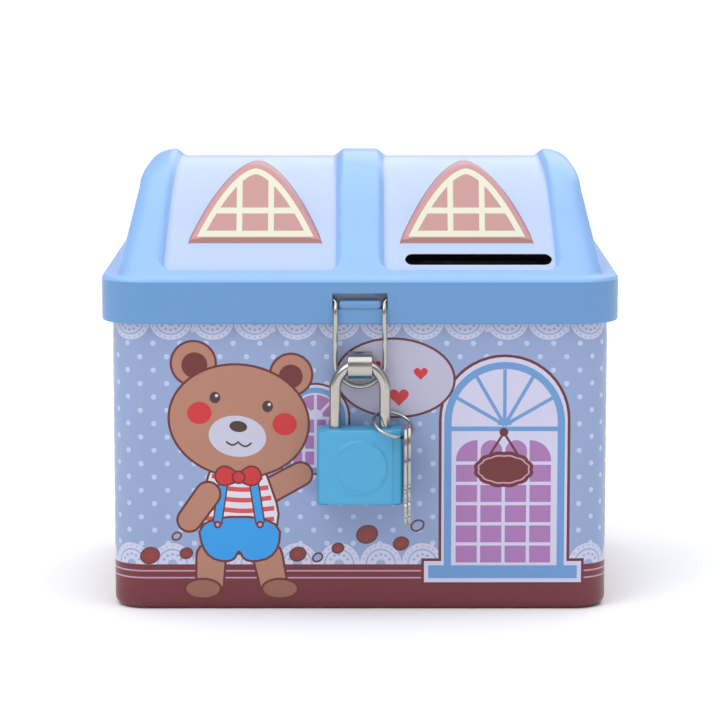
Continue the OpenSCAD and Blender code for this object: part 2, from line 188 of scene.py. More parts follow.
view = {"height": 0.152, "distance": 0.66, "lens": 158.5, "aim": (0.0, -0.039, 0.0537)}
studio = {
    "centre": (0, 0, 0.05), "floorHalf": 5, "paper": (0.93, 0.93, 0.94, 1),
    "boxes": {"key_box": ((-0.5, -0.6, 0.7), (0.6, 0.5), 2.4),  # place, size and watts
              "fill_box": ((0.8, -0.5, 0.4), (0.5, 0.8), 0.6),
              "back_box": ((0.2, 0.9, 0.6), (0.8, 0.5), 1.5)},
    "below": (0.42, 0.42, 0.43, 1), "sky": ((0.2, 0.2), (0.6, 0.2), (0.78, 0.95)), "strength": 1.85,
}


def aimAt(thing, target):
    thing.rotation_euler = (Vector(target) - thing.location).to_track_quat("-Z", "Y").to_euler()


def makeCamera():
    data = bpy.data.cameras.new("camera")
    data.lens = view["lens"]
    data.sensor_width = 36
    camera = bpy.data.objects.new("camera", data)
    bpy.context.scene.collection.objects.link(camera)
    camera.location = (view["aim"][0], view["aim"][1] - view["distance"], view["height"])
    aimAt(camera, view["aim"])
    bpy.context.scene.camera = camera


def makeStage():
    # a wide sheet of matt paper
    half = studio["floorHalf"]
    corners = [(-half, -half, 0), (half, -half, 0), (half, half, 0), (-half, half, 0)]
    floorMesh = bpy.data.meshes.new("floor")
    floorMesh.from_pydata(corners, [], [(0, 1, 2, 3)])
    finish = {"Base Color": studio["paper"], "Roughness": 0.9, "Specular IOR Level": 0.2}
    floorMesh.materials.append(newMaterial("floor_paper", finish)[0])
    floor = bpy.data.objects.new("floor", floorMesh)
    bpy.context.scene.collection.objects.link(floor)


def softBox(name, place, size, watts):
    data = bpy.data.lights.new(name, "AREA")
    data.shape = "RECTANGLE"
    data.size, data.size_y = size
    data.energy = watts
    lamp = bpy.data.objects.new(name, data)
    bpy.context.scene.collection.objects.link(lamp)
    lamp.location = place
    aimAt(lamp, studio["centre"])


def makeLights():
    for name, (place, size, watts) in studio["boxes"].items():
        softBox(name, place, size, watts)
    # a bright ceiling, a dim middle and a pale horizon, so metal has something to show
    world = bpy.data.worlds.new("studio")
    bpy.context.scene.world = world
    world.use_nodes = True
    place = addNode(world, "ShaderNodeTexCoord")
    split = addNode(world, "ShaderNodeSeparateXYZ", links=[("Vector", place, "Generated")])
    ramp = addNode(world, "ShaderNodeValToRGB", links=[("Fac", split, "Z")])
    stops = ramp.color_ramp.elements
    stops[0].position, stops[0].color = 0.0, studio["below"]
    stops[1].position, stops[1].color = 1.0, (1, 1, 1, 1)
    for position, level in studio["sky"]:
        stops.new(position).color = (level, level, level * 1.02, 1)
    background = world.node_tree.nodes["Background"]
    world.node_tree.links.new(ramp.outputs["Color"], background.inputs["Color"])
    background.inputs["Strength"].default_value = studio["strength"]
    bpy.context.scene.view_settings.view_transform = "Standard"


makeCamera()
makeStage()
makeLights()
print("stage ready")


lid = {
    "footX": 51.9, "halfX": 54.7, "halfY": 41.2, "cornerR": 9.2, "planR": 6.8, "ledge": 71.3, "top": 95.0,
    "ridgeR": 38.4, "shoulderR": 7.0, "lean": 4.2, "drop": 1.5, "flank": 2.6, "sheet": 0.4,
    "panels": [(-43.0, -3.4), (3.4, 43.0)], "panelFoot": 72.5, "panelR": 4.0, "inkInset": 1.7,
    "panelLean": 2.4, "leanReach": 36, "leanWidth": 18, "gridEdge": 1.0,
    "skirtLow": 61.5, "shoulderRoll": 0.9, "hemR": 0.55, "hemUp": 1.5,
    "slotX": 25.0, "slotY": -34.3, "slotW": 31.0, "slotH": 3.0, "bailSlotX": 5.8, "bailSlotZ": (64.7, 68.1),
    "dimpleX": 6.9, "dimpleZ": 66.6, "dimpleWide": 1.3, "dimpleHigh": 0.8, "dimpleDeep": 0.32,
}
dormers = {
    "x": (-22.2, 22.6), "base": 77.9, "height": 15.9, "half": 14.0, "y": -31.3, "tilt": 27.0,
    "frameGap": 1.0, "frameBar": 1.2, "mullions": (-3.4, 3.3), "transom": 6.3,
    "round": 0.7, "point": 0.57, "fall": 0.06, "blend": 0.9,
}


def gableHalf(z):
    # half width of the roof at height z
    knee = lid["top"] - lid["shoulderR"]
    straight = lid["footX"] - lid["lean"] * (z - lid["ledge"] + 3) / (knee - lid["ledge"] + 3)
    rise = np.clip(z - knee, 0, lid["shoulderR"])
    curved = lid["footX"] - lid["lean"] - lid["shoulderR"] + np.sqrt(lid["shoulderR"] ** 2 - rise ** 2)
    return np.where(z < knee, straight, curved)


def ridgeHalf(z, drop=0.0):
    # half depth of the roof at height z: a slope of 45 degrees, then the round ridge
    r = lid["ridgeR"] - drop
    c = lid["top"] - lid["ridgeR"]
    knee = c + r / root2
    ridge = np.sqrt(np.maximum(r ** 2 - (np.maximum(z, c) - c) ** 2, 0))
    return np.where(z < knee, r / root2 + knee - z, ridge)


def slopeHeight(y, drop):
    # height of the slope and ridge over y, drop below the ribs
    r = lid["ridgeR"] - drop
    c = lid["top"] - lid["ridgeR"]
    far = np.abs(y)
    knee = r / root2
    ridge = c + np.sqrt(np.maximum(r ** 2 - np.minimum(far, knee) ** 2, 0))
    return np.where(far > knee, c + knee - (far - knee), ridge)


def roundRect(x, y, halfX, halfY, r):
    # distance to a rounded rectangle's edge, negative inside
    px = np.abs(x) - halfX + r
    py = np.abs(y) - halfY + r
    return np.hypot(np.maximum(px, 0), np.maximum(py, 0)) + np.minimum(np.maximum(px, py), 0) - r


def ribHeight(x, y):
    # the roof at the level of its ribs, found by halving: contours are rounded rectangles
    low = np.full_like(x, 60.0)
    high = np.full_like(x, lid["top"])
    for halving in range(30):
        z = (low + high) / 2
        halfY = ridgeHalf(z)
        inside = roundRect(x, y, gableHalf(z), halfY, np.minimum(lid["planR"], halfY * 0.98)) < 0
        low = np.where(inside, z, low)
        high = np.where(inside, high, z)
    return low


def smoothStep(t):
    t = np.clip(t, 0, 1)
    return t * t * (3 - 2 * t)


def smoothMin(a, b, k):
    # the lower of two heights, blended where they are within k of each other
    h = np.maximum(k - np.abs(a - b), 0) / k
    return np.minimum(a, b) - h * h * k / 4


def smoothMax(a, b, k):
    return -smoothMin(-a, -b, k)


def panelDistance(x, y, panel):
    # distance to a sunk panel's edge, measured up the slope; negative inside
    lean = lid["panelLean"] * np.clip(1 - np.abs(y) / lid["leanReach"], 0, 1) * (1 if panel[0] > 0 else -1)
    centre = (panel[0] + panel[1] - lean) / 2
    up = (lid["top"] - lid["ridgeR"] + lid["ridgeR"] * root2 - np.abs(y) - lid["panelFoot"]) * root2
    px = np.abs(x - centre) - (panel[1] - panel[0] - np.abs(lean)) / 2 + lid["panelR"]
    py = -up + lid["panelR"]
    return np.hypot(np.maximum(px, 0), np.maximum(py, 0)) + np.minimum(np.maximum(px, py), 0) - lid["panelR"]


def archShare(t):
    # a dormer's half width, as a share, at the share t of its height
    return np.maximum(1 - t, 0) ** dormers["point"]


def dormerFall(y):
    # the dormer's back sinks a little before it dies into the roof
    return dormers["fall"] * np.maximum(y - dormers["y"] - 8, 0)


def dormerHeight(x, y, centre):
    # a flat leaning face that meets an arched hood; beside the arch it falls away steeply
    across = np.clip(np.abs(x - centre) / dormers["half"], 0, 1.15)
    share = np.where(across < 1, 1 - across ** (1 / dormers["point"]), -6 * (across - 1))
    arch = dormers["base"] + dormers["height"] * share - dormerFall(y)
    face = dormers["base"] + (y - dormers["y"]) / math.tan(math.radians(dormers["tilt"]))
    return smoothMin(arch, face, dormers["round"] * 2)


def roofHeight(x, y):
    z = ribHeight(x, y)
    for panel in lid["panels"]:
        sunk = smoothStep(-panelDistance(x, y, panel) / lid["flank"])
        z = z * (1 - sunk) + np.minimum(z, slopeHeight(y, lid["drop"])) * sunk
    for centre in dormers["x"]:
        near = (np.abs(x - centre) < dormers["half"] + 2) & (y > dormers["y"] - 2) & (y < 6)
        z = np.where(near, smoothMax(z, dormerHeight(x, y, centre), dormers["blend"]), z)
    return smoothMax(z, np.full_like(z, lid["ledge"]), 0.7)


def roofNormals(x, y):
    step = 0.03
    dx = (roofHeight(x + step, y) - roofHeight(x - step, y)) / (2 * step)
    dy = (roofHeight(x, y + step) - roofHeight(x, y - step)) / (2 * step)
    normals = np.stack([-dx, -dy, np.ones_like(dx)], axis=1)
    return normals / np.linalg.norm(normals, axis=1)[:, None]


def archOutline(centre, inset, steps=18):
    # a dormer's arch on its leaning face, inset evenly, as X and height above its base
    side = []
    for i in range(steps + 1):
        t = 1 - (1 - i / steps) ** 2
        side.append((dormers["half"] * float(archShare(np.array(t))), dormers["height"] * t))
    points = side + [(-x, h) for x, h in reversed(side[:-1])]
    return [(centre + x, h) for x, h in insetOutline(points, inset)]


def insetOutline(points, distance):
    # moves each side of a counter-clockwise outline inwards
    if distance == 0:
        return points
    moved = []
    count = len(points)
    for i in range(count):
        before, here, after = points[i - 1], points[i], points[(i + 1) % count]
        a = Vector((here[0] - before[0], here[1] - before[1])).normalized()
        b = Vector((after[0] - here[0], after[1] - here[1])).normalized()
        n = Vector((-a.y - b.y, a.x + b.x))
        n.normalize()
        spread = max(n.dot(Vector((-a.y, a.x))), 0.35)
        moved.append((here[0] + n.x * distance / spread, here[1] + n.y * distance / spread))
    return moved


def clipOutline(points, axis, limit, keepAbove):
    # cuts a convex outline along a straight line
    kept = []
    for i, here in enumerate(points):
        before = points[i - 1]
        insideHere = (here[axis] >= limit) == keepAbove
        insideBefore = (before[axis] >= limit) == keepAbove
        if insideHere != insideBefore:
            share = (limit - before[axis]) / (here[axis] - before[axis])
            cut = [before[k] + share * (here[k] - before[k]) for k in (0, 1)]
            kept.append(tuple(cut))
        if insideHere:
            kept.append(here)
    return kept


def dormerPanes(centre):
    # six panes between the frame and its bars, as X and height above the base
    opening = archOutline(centre, dormers["frameGap"] + dormers["frameBar"])
    bar = dormers["frameBar"] / 2
    edges = [None, centre + dormers["mullions"][0], centre + dormers["mullions"][1], None]
    panes = []
    for column in range(3):
        part = opening
        if edges[column] is not None:
            part = clipOutline(part, 0, edges[column] + bar, True)
        if edges[column + 1] is not None:
            part = clipOutline(part, 0, edges[column + 1] - bar, False)
        panes.append(clipOutline(part, 1, dormers["transom"] - bar, False))
        panes.append(clipOutline(part, 1, dormers["transom"] + bar, True))
    return [pane for pane in panes if len(pane) > 2]


def onFace(points):
    # from X and height on the leaning face to the plan
    lean = math.tan(math.radians(dormers["tilt"]))
    return [(x, dormers["y"] + h * lean) for x, h in points]


def dormerFoot(centre, margin):
    # where the dormer's sides and top die into the panel, in plan
    side = []
    for i in range(25):
        t = 1 - (1 - i / 24) ** 2
        half = dormers["half"] * float(archShare(np.array(t))) + margin
        y = dormers["y"]
        for k in range(8):
            z = dormers["base"] + dormers["height"] * t - float(dormerFall(np.array(y)))
            y = -float(ridgeHalf(np.array(z), lid["drop"]))
        side.append((half, y))
    side[0] = (side[0][0], dormers["y"] + 0.2 - margin)
    return [(centre + x, y) for x, y in side] + [(centre - x, y) for x, y in reversed(side)]


def panelOutline(panel, steps=8):
    # edge of the panel's lighter ink, in plan
    inset = lid["inkInset"]
    r = lid["panelR"] - inset
    left, right = panel[0] + inset, panel[1] - inset
    foot = lid["top"] - lid["ridgeR"] + lid["ridgeR"] * root2 - lid["panelFoot"] - inset / root2
    points = []
    for cx, cy, start in ((right - r, -1, -90), (right - r, 1, 0), (left + r, 1, 90), (left + r, -1, 180)):
        for i in range(steps + 1):
            a = math.radians(start + 90 * i / steps)
            points.append((cx + r * math.cos(a), cy * (foot - r / root2) + r / root2 * math.sin(a)))
    # the outer side leans in towards the ridge
    side = 1 if panel[0] > 0 else -1
    middle = (panel[0] + panel[1]) / 2
    leaned = []
    for x, y in spreadOutline(points, 2.0):
        across = min(max((x - middle) * side / lid["leanWidth"], 0), 1)
        fade = max(1 - abs(y) / lid["leanReach"], 0)
        leaned.append((x - side * lid["panelLean"] * across * fade, y))
    return leaned


def spreadOutline(points, pitch):
    # adds points along a closed outline's long sides
    dense = []
    for a, b in zip(points, points[1:] + points[:1]):
        count = max(1, round(math.hypot(b[0] - a[0], b[1] - a[1]) / pitch))
        dense += [(a[0] + (b[0] - a[0]) * i / count, a[1] + (b[1] - a[1]) * i / count) for i in range(count)]
    return dense


def slotOutline(margin=0.0, steps=10):
    # the coin slot in plan, round at both ends
    r = lid["slotH"] / 2 + margin
    half = (lid["slotW"] - lid["slotH"]) / 2
    points = []
    for side, start in ((1, -90), (-1, 90)):
        for i in range(steps + 1):
            a = math.radians(start + 180 * i / steps)
            x = lid["slotX"] + side * half + r * math.cos(a)
            points.append((x, lid["slotY"] + r / root2 * math.sin(a)))
    return points


def spread(stops, pitches):
    # grid lines from stop to stop at about the given pitch
    lines = [stops[0]]
    for start, end, pitch in zip(stops, stops[1:], pitches):
        count = max(1, round(abs(end - start) / pitch))
        lines += [start + (end - start) * (i + 1) / count for i in range(count)]
    return lines


def triangulate(points, outlines, edges=()):
    # joins points into triangles that no outline and no edge crosses
    coords = [Vector(p) for p in points]
    kept = list(edges)
    for outline in outlines:
        first = len(coords)
        coords += [Vector(p) for p in outline]
        kept += [(first + i, first + (i + 1) % len(outline)) for i in range(len(outline))]
    result = delaunay_2d_cdt(coords, kept, [], 0, 1e-4, False)
    return np.array([tuple(v) for v in result[0]]), np.array([tuple(t) for t in result[2]])


def within(points, outline):
    # which of the points lie inside a closed outline
    inside = np.zeros(len(points), bool)
    low, high = np.min(outline, axis=0), np.max(outline, axis=0)
    near = np.nonzero(((points > low) & (points < high)).all(axis=1))[0]
    px, py = points[near, 0], points[near, 1]
    odd = np.zeros(len(near), bool)
    for i, (bx, by) in enumerate(outline):
        ax, ay = outline[i - 1]
        if ay != by:
            crosses = (ay > py) != (by > py)
            odd ^= crosses & (px < (bx - ax) * (py - ay) / (by - ay) + ax)
    inside[near] = odd
    return inside


def paintFaces(centres, pictures, ground):
    # each triangle takes the last ink laid over it
    names = np.array([ground] * len(centres), dtype=object)
    for name, outline in pictures:
        names[within(centres, outline)] = name
    return names


def roofGrid():
    # grid lines crowd where the gable and the embossing are steep
    halfX = lid["halfX"] - lid["gridEdge"]
    halfY = lid["halfY"] - lid["gridEdge"]
    knee = lid["footX"] - lid["lean"] - lid["shoulderR"]
    gable = [lid["footX"] - lid["lean"] * i / 14 * 0.99 - 0.35 for i in range(15)]
    shoulder = [knee + lid["shoulderR"] * math.cos(math.radians(a)) for a in range(12, 90, 8)]
    foot = [lid["footX"] + d for d in (0.5, 0.3, 0.2, 0.1, 0, -0.1, -0.2)]
    outer = [halfX, halfX - 0.5, halfX - 1.0] + foot
    half = sorted(set(round(v, 4) for v in outer + gable + shoulder))
    kept = [half[0]]
    for v in half[1:]:
        if v - kept[-1] > 0.055:
            kept.append(v)
    inner = spread([0, 3.2, 6.2, 38, knee], [0.5, 0.45, 0.6, 0.5])
    inner = [v for v in inner if v < kept[0] - 0.2]
    positive = inner + kept
    if lid["bailSlotX"] not in positive:
        positive = sorted(positive + [lid["bailSlotX"]])
    xs = [-v for v in reversed(positive[1:])] + positive
    front = spread([-halfY, -37.0, -33.0, -21.0, 0], [0.35, 0.4, 0.36, 0.55])
    back = spread([0, 30.0, halfY], [1.2, 0.6])[1:]
    return xs, front + back, halfX, halfY


def roundCorners(x, y, halfX, halfY, r):
    # pulls the corner blocks of a rectangular grid in to quarter discs
    dx, dy = abs(x) - (halfX - r), abs(y) - (halfY - r)
    if dx > 0 and dy > 0:
        scale = max(dx, dy) / math.hypot(dx, dy)
        return (math.copysign(halfX - r + dx * scale, x), math.copysign(halfY - r + dy * scale, y))
    return (x, y)


def lidArt():
    # the roof's inks as outlines in plan, in the order they are laid, with a darker terracotta band of
    # painted shade along each dormer's foot
    pictures = [("panelBlue", panelOutline(panel)) for panel in lid["panels"]]
    for centre in dormers["x"]:
        # painted shade: a thin darker terracotta band in the crease round the dormer's foot, under the hood's
        # own ink
        pictures.append(("terracottaEdge", dormerFoot(centre, 0.25)))
        pictures.append(("terracotta", dormerFoot(centre, -0.2)))
        pictures.append(("windowCream", onFace(archOutline(centre, dormers["frameGap"]))))
        pictures += [("paneRose", onFace(pane)) for pane in dormerPanes(centre)]
    return pictures + [("panelBlue", slotOutline(0.3)), ("hole", slotOutline())]


def rimLoop(plan, halfX, halfY, r):
    # the grid's rim in order round the lid, and which way each of its points faces
    rim = np.abs(roundRect(plan[:, 0], plan[:, 1], halfX, halfY, r)) < 1e-3
    loop = sorted(np.nonzero(rim)[0], key=lambda i: math.atan2(plan[i][1], plan[i][0]))
    outward = []
    for i in loop:
        x, y = plan[i]
        across = math.copysign(max(abs(x) - halfX + r, 0), x)
        along = math.copysign(max(abs(y) - halfY + r, 0), y)
        outward.append(Vector((across, along)).normalized())
    return loop, outward


def skirtProfile():
    # shoulder, skirt and folded hem: a step outwards, a height, and the direction it faces
    roll, edge, hem = lid["shoulderRoll"], lid["gridEdge"], lid["hemR"]
    low, high = lid["bailSlotZ"]
    profile = []
    for i in range(1, 7):
        a = math.radians(90 - 15 * i)
        out, up = math.cos(a), math.sin(a)
        profile.append((edge - roll + roll * out, lid["ledge"] - roll + roll * up, out, up))
    heights = [high + 0.01, high] + [high - (high - low) * i / 9 for i in range(1, 10)]
    profile += [(edge, z, 1.0, 0.0) for z in heights + [lid["skirtLow"] + hem + 0.3]]
    for i in range(9):
        a = math.radians(-22.5 * i)
        out, up = math.cos(a), math.sin(a)
        profile.append((edge - hem + hem * out, lid["skirtLow"] + hem + hem * up, out, up))
    return profile + [(edge - 2 * hem, lid["skirtLow"] + hem + lid["hemUp"], -1.0, 0.0)]


def footDimple(x, z):
    # the front of the skirt bulges over each foot of the bail: how far, and how its flank leans
    sideways, upwards = abs(x) - lid["dimpleX"], z - lid["dimpleZ"]
    away = math.hypot(sideways / lid["dimpleWide"], upwards / lid["dimpleHigh"])
    bulge = lid["dimpleDeep"] * float(smoothStep(np.array(1 - away)))
    if bulge == 0:
        return 0, 0, 0
    return bulge, math.copysign(bulge, sideways) * math.copysign(0.8, x), math.copysign(bulge, upwards) * 1.2


def backSheet(verts, normals, faces, sheet):
    # adds the sheet's other side, one thickness in; returns its faces and those of the raw edges
    count = len(verts)
    verts += [(v[0] - n[0] * sheet, v[1] - n[1] * sheet, v[2] - n[2] * sheet) for v, n in zip(verts, normals)]
    normals += [(-n[0], -n[1], -n[2]) for n in normals]
    sides = dict.fromkeys(pair for face in faces for pair in zip(face, face[1:] + face[:1]))
    back = [tuple(i + count for i in reversed(face)) for face in faces]
    return back + [(b, a, a + count, b + count) for a, b in sides if (b, a) not in sides]


def buildLid():
    xs, ys, halfX, halfY = roofGrid()
    r = lid["cornerR"] - lid["gridEdge"]
    points = [roundCorners(x, y, halfX, halfY, r) for x in xs for y in ys]
    points = [(x, y) for x, y in points if not (abs(x - lid["slotX"]) < lid["slotW"] / 2 + 0.4
                                                and abs(y - lid["slotY"]) < lid["slotH"] / 2)]
    pictures = lidArt()
    plan, tris = triangulate(points, [outline for name, outline in pictures])
    names = paintFaces(plan[tris].mean(axis=1), pictures, "ribBlue")
    z = roofHeight(plan[:, 0], plan[:, 1])
    normals = [tuple(n) for n in roofNormals(plan[:, 0], plan[:, 1])]
    verts = [(p[0], p[1], h) for p, h in zip(plan, z)]
    palette = ["ribBlue", "panelBlue", "terracotta", "terracottaEdge", "windowCream", "paneRose", "rimBlue"]
    faces = [tuple(tri) for tri, name in zip(tris.tolist(), names) if name != "hole"]
    colours = [palette.index(name) for name in names if name != "hole"]
    # the skirt is swept round from the grid's rim
    loop, outward = rimLoop(plan, halfX, halfY, r)
    low, high = lid["bailSlotZ"]
    last = list(loop)
    count = len(loop)
    for step, (out, height, nOut, nUp) in enumerate(skirtProfile()):
        onSkirt = nOut == 1.0
        ring = []
        for i, n in zip(loop, outward):
            x, y = plan[i][0] + n.x * out, plan[i][1] + n.y * out
            bulge, leanX, leanZ = footDimple(x, height) if n.y < -0.99 and onSkirt else (0, 0, 0)
            ring.append(len(verts))
            verts.append((x, y - bulge, height))
            normals.append(tuple(Vector((n.x * nOut + leanX, n.y * nOut, nUp + leanZ)).normalized()))
        for a in range(count):
            b = (a + 1) % count
            middle = abs(plan[loop[a]][0] + plan[loop[b]][0]) / 2
            onFront = outward[a].y < -0.99 and outward[b].y < -0.99
            if not (onFront and onSkirt and middle < lid["bailSlotX"] and low <= height < high - 0.005):
                faces.append((last[a], ring[a], ring[b], last[b]))
                colours.append(palette.index("rimBlue" if step > 5 else "ribBlue"))
        last = ring
    back = backSheet(verts, normals, faces, lid["sheet"])
    colours += [len(palette)] * len(back)
    materials = [ink(name) for name in palette] + [finishes["gold"]]
    return newPiece("roof_lid", verts, faces + back, normals, materials, "lid",
                    ["lid_shell"], colours)


buildLid()
print("lid ready")


# printed body: one sheet bent round, curled under at the foot and hemmed at the top
wall = {
    "halfX": 52.5, "halfY": 39.0, "r": 7.0, "sheet": 0.4, "footR": 2.0, "low": -4.14, "high": 72.1,
    "hemR": 0.45, "hemZ": 68.15, "seamHalf": 0.45, "seamDeep": 0.16, "straightStep": 4.0, "cornerStep": 0.785,
}
litho = {
    "band": 9.8, "lines": ((6.75, 7.05), (8.25, 8.55)), "line": 0.5, "scallops": 40, "laceTop": 61.9,
    "dotAcross": 63, "dotUp": 2.86, "dotR": 0.57, "dotFrom": 11.5, "dotTo": 68.0,
    "door": (30.55, 13.9, 9, 54.9), "smallWindow": (-9.4, 6.9, 29.5, 48.4),  # middle, half width, base, top
    "wallWindow": (9.5, 21.0, 49.0), "backWindow": 27.0,
    "bubble": (7.4, 49.9, 12.3, 8.1, -3), "head": (-25.6, 40.7, 14.6, 11.8, -7),  # middle, half axes, tilt
}
frontHalf = wall["halfX"] - wall["r"]
cornerArc = wall["r"] * math.pi / 2
sideFlat = 2 * (wall["halfY"] - wall["r"])
secondBend = frontHalf + cornerArc + sideFlat
folds = (frontHalf, frontHalf + cornerArc, secondBend, frontHalf + 2 * cornerArc + sideFlat)
sheetHalf = folds[3] + frontHalf  # half the sheet's length; its ends meet in the middle of the back


def foldPlan(u):
    # where the sheet's length u, from the middle of the front, lies in plan, and which way it faces
    hand, a = np.where(u < 0, -1.0, 1.0), np.abs(u)
    first = np.clip((a - folds[0]) / wall["r"], 0, math.pi / 2)
    last = np.clip((a - folds[2]) / wall["r"], 0, math.pi / 2)
    angle = first + last
    x = np.minimum(a, folds[0]) - np.clip(a - folds[3], 0, None) + wall["r"] * np.sin(angle)
    y = -wall["halfY"] + wall["r"] + np.clip(a - folds[1], 0, sideFlat) - wall["r"] * np.cos(angle)
    return hand * x, y, hand * np.sin(angle), -np.cos(angle)


def foldProfile(v):
    # the sheet's height v as a step outwards and a height, with the curl and the hem
    foot, hem = wall["footR"], wall["hemR"]
    curl = np.clip((foot - v) / foot, 0, math.pi / 2)
    roll = np.clip((v - wall["hemZ"]) / hem, 0, math.pi)
    lip = np.clip(foot * (1 - math.pi / 2) - v, 0, None)
    down = np.clip(v - wall["hemZ"] - math.pi * hem, 0, None)
    out = foot * (np.cos(curl) - 1) - lip + hem * (np.cos(roll) - 1)
    above = np.minimum(v, wall["hemZ"]) + hem * np.sin(roll) - down
    z = np.where(v < foot, foot - foot * np.sin(curl), above)
    return out, z, np.cos(curl) * np.cos(roll), np.sin(roll) - np.sin(curl)


def foldSheet(u, v, depth):
    # points of the folded sheet and their directions, depth inside its printed face
    x, y, nx, ny = foldPlan(u)
    out, z, level, up = foldProfile(v)
    groove = wall["seamDeep"] * smoothStep(1 - (sheetHalf - np.abs(u)) / wall["seamHalf"])
    groove = np.where((v > 3) & (v < wall["hemZ"] - 1) & (depth == 0), groove, 0)
    out = out - groove
    place = np.stack([x + nx * out, y + ny * out, z], axis=1)
    normal = np.stack([nx * level, ny * level, up], axis=1)
    return place - normal * depth, normal


def ellipse(cx, cy, rx, ry, tilt=0, steps=30, start=0, sweep=360):
    # an ellipse, or the stretch of it from start over sweep
    c, s = math.cos(math.radians(tilt)), math.sin(math.radians(tilt))
    points = []
    for i in range(steps + (sweep < 360)):
        a = math.radians(start + sweep * i / steps)
        x, y = rx * math.cos(a), ry * math.sin(a)
        points.append((cx + x * c - y * s, cy + x * s + y * c))
    return points


def limb(ax, ay, ra, bx, by, rb, steps=9):
    # two circles joined by their outer tangents
    length = math.hypot(bx - ax, by - ay)
    lean = math.degrees(math.acos((ra - rb) / length))
    aim = math.degrees(math.atan2(by - ay, bx - ax))
    far = ellipse(bx, by, rb, rb, 0, steps, aim - lean, 2 * lean)
    near = ellipse(ax, ay, ra, ra, 0, steps, aim + lean, 360 - 2 * lean)
    return far + near


def box(x0, y0, x1, y1):
    return [(x0, y0), (x1, y0), (x1, y1), (x0, y1)]


def arch(cx, halfW, base, top, steps=24):
    # a window or door with a half-round head
    return [(cx - halfW, base), (cx + halfW, base)] + ellipse(cx, top - halfW, halfW, halfW, 0, steps, 0, 180)


def bar(ax, ay, bx, by, width):
    # a straight strip from a to b
    length = math.hypot(bx - ax, by - ay)
    nx, ny = -(by - ay) / length * width / 2, (bx - ax) / length * width / 2
    return [(ax + nx, ay + ny), (ax - nx, ay - ny), (bx - nx, by - ny), (bx + nx, by + ny)]


def stroke(points, width):
    # a pen line along open points
    left, right = [], []
    for i, here in enumerate(points):
        before, after = points[max(i - 1, 0)], points[min(i + 1, len(points) - 1)]
        d = Vector((after[0] - before[0], after[1] - before[1])).normalized()
        left.append((here[0] - d.y * width / 2, here[1] + d.x * width / 2))
        right.append((here[0] + d.y * width / 2, here[1] - d.x * width / 2))
    return left[::-1] + right


def grow(outline, width):
    # moves a counter-clockwise outline outwards
    return insetOutline(outline, -width)


def inked(name, outline, width=litho["line"]):
    # a filled shape with its drawn outline
    return [("outlineMaroon", grow(outline, width)), (name, outline)]


def heart(cx, cy, size):
    # a heart as wide as its size
    points = []
    for i in range(28):
        t = 2 * math.pi * i / 28
        x = math.sin(t) ** 3
        y = 0.81 * math.cos(t) - 0.31 * math.cos(2 * t) - 0.125 * math.cos(3 * t) - 0.06 * math.cos(4 * t)
        points.append((cx + size * x / 2, cy + size * y / 2))
    return points[::-1]


def paneRows(left, right, bottom, top, columns, rows, gap):
    # lit panes between white bars
    wide, high = (right - left + gap) / columns, (top - bottom + gap) / rows
    corners = [(left + wide * i, bottom + high * j) for i in range(columns) for j in range(rows)]
    return [("paneViolet", box(x, y, x + wide - gap, y + high - gap)) for x, y in corners]


def fanLight(cx, cy, r, hub, spoke, lights=6):
    # spokes from a hub to the head of the arch
    parts = []
    for i in range(1, lights):
        a = math.pi * i / lights
        parts.append(("doorBlue", bar(cx, cy, cx + r * math.cos(a), cy + r * math.sin(a), spoke)))
    return parts + [("doorBlue", ellipse(cx, cy, hub, hub, 0, 14, 0, 180))]


def doorArt():
    # the arched door on its step, with a fan light and violet panes
    cx, halfW, base, top = litho["door"]
    parts = [("outlineMaroon", arch(cx, halfW, base, top)), ("outlineMaroon", box(13.0, 5.4, 47.6, 11.1)),
             ("doorWhite", arch(cx, 13.3, base, 54.3)), ("doorWhite", box(13.6, 5.9, 47.0, 10.5)),
             ("doorBlue", arch(cx, 12.75, 9.6, 53.3)), ("doorBlue", box(14.5, 6.8, 46.1, 9.6)),
             ("doorWhite", arch(cx, 11.2, 9.6, 51.8)), ("doorBlue", box(cx - 11.3, 38.5, cx + 11.3, 39.5))]
    parts += fanLight(cx, 39.8, 11.9, 1.5, 0.75)
    parts += paneRows(20.3, 40.4, 10.2, 31.3, 4, 5, 0.7)
    # the top row: quarter arches outside, round heads between
    foot, spring = 32.0, 32.4
    heads = [(20.3, 24.85), (25.5, 30.1), (30.7, 35.3), (35.85, 40.4)]
    for i, (x0, x1) in enumerate(heads):
        r = x1 - x0
        pane = [(x0, foot), (x1, foot)]
        if i == 0:
            pane += [(x1, 36.6)] + ellipse(x1, spring, r, 4.2, 0, 8, 90, 90)
        elif i == 3:
            pane += ellipse(x0, spring, r, 4.2, 0, 8, 0, 90)
        else:
            pane += ellipse((x0 + x1) / 2, 34.3, r / 2, 2.3, 0, 10, 0, 180)
        parts.append(("paneViolet", pane))
    return parts


def signArt():
    # a blank hanging board on its nail
    cx, cy, nail = 30.4, 30.3, 38.2
    cords = [("outlineMaroon", bar(cx, nail, cx + step, 33.4, 0.5)) for step in (-3.0, 3.0)]
    board = []
    for name, rx, ry in (("outlineMaroon", 6.1, 3.75), ("lineRose", 5.35, 3.0), ("signMaroon", 5.05, 2.7)):
        wavy = []
        for i in range(72):
            a = 2 * math.pi * i / 72
            swell = 1 + 0.055 * abs(math.sin(6 * a))
            wavy.append((cx + rx * swell * math.cos(a), cy + ry * swell * math.sin(a)))
        board.append((name, wavy))
    return cords + [("outlineMaroon", ellipse(cx, nail + 0.1, 0.95, 0.95, 0, 16))] + board


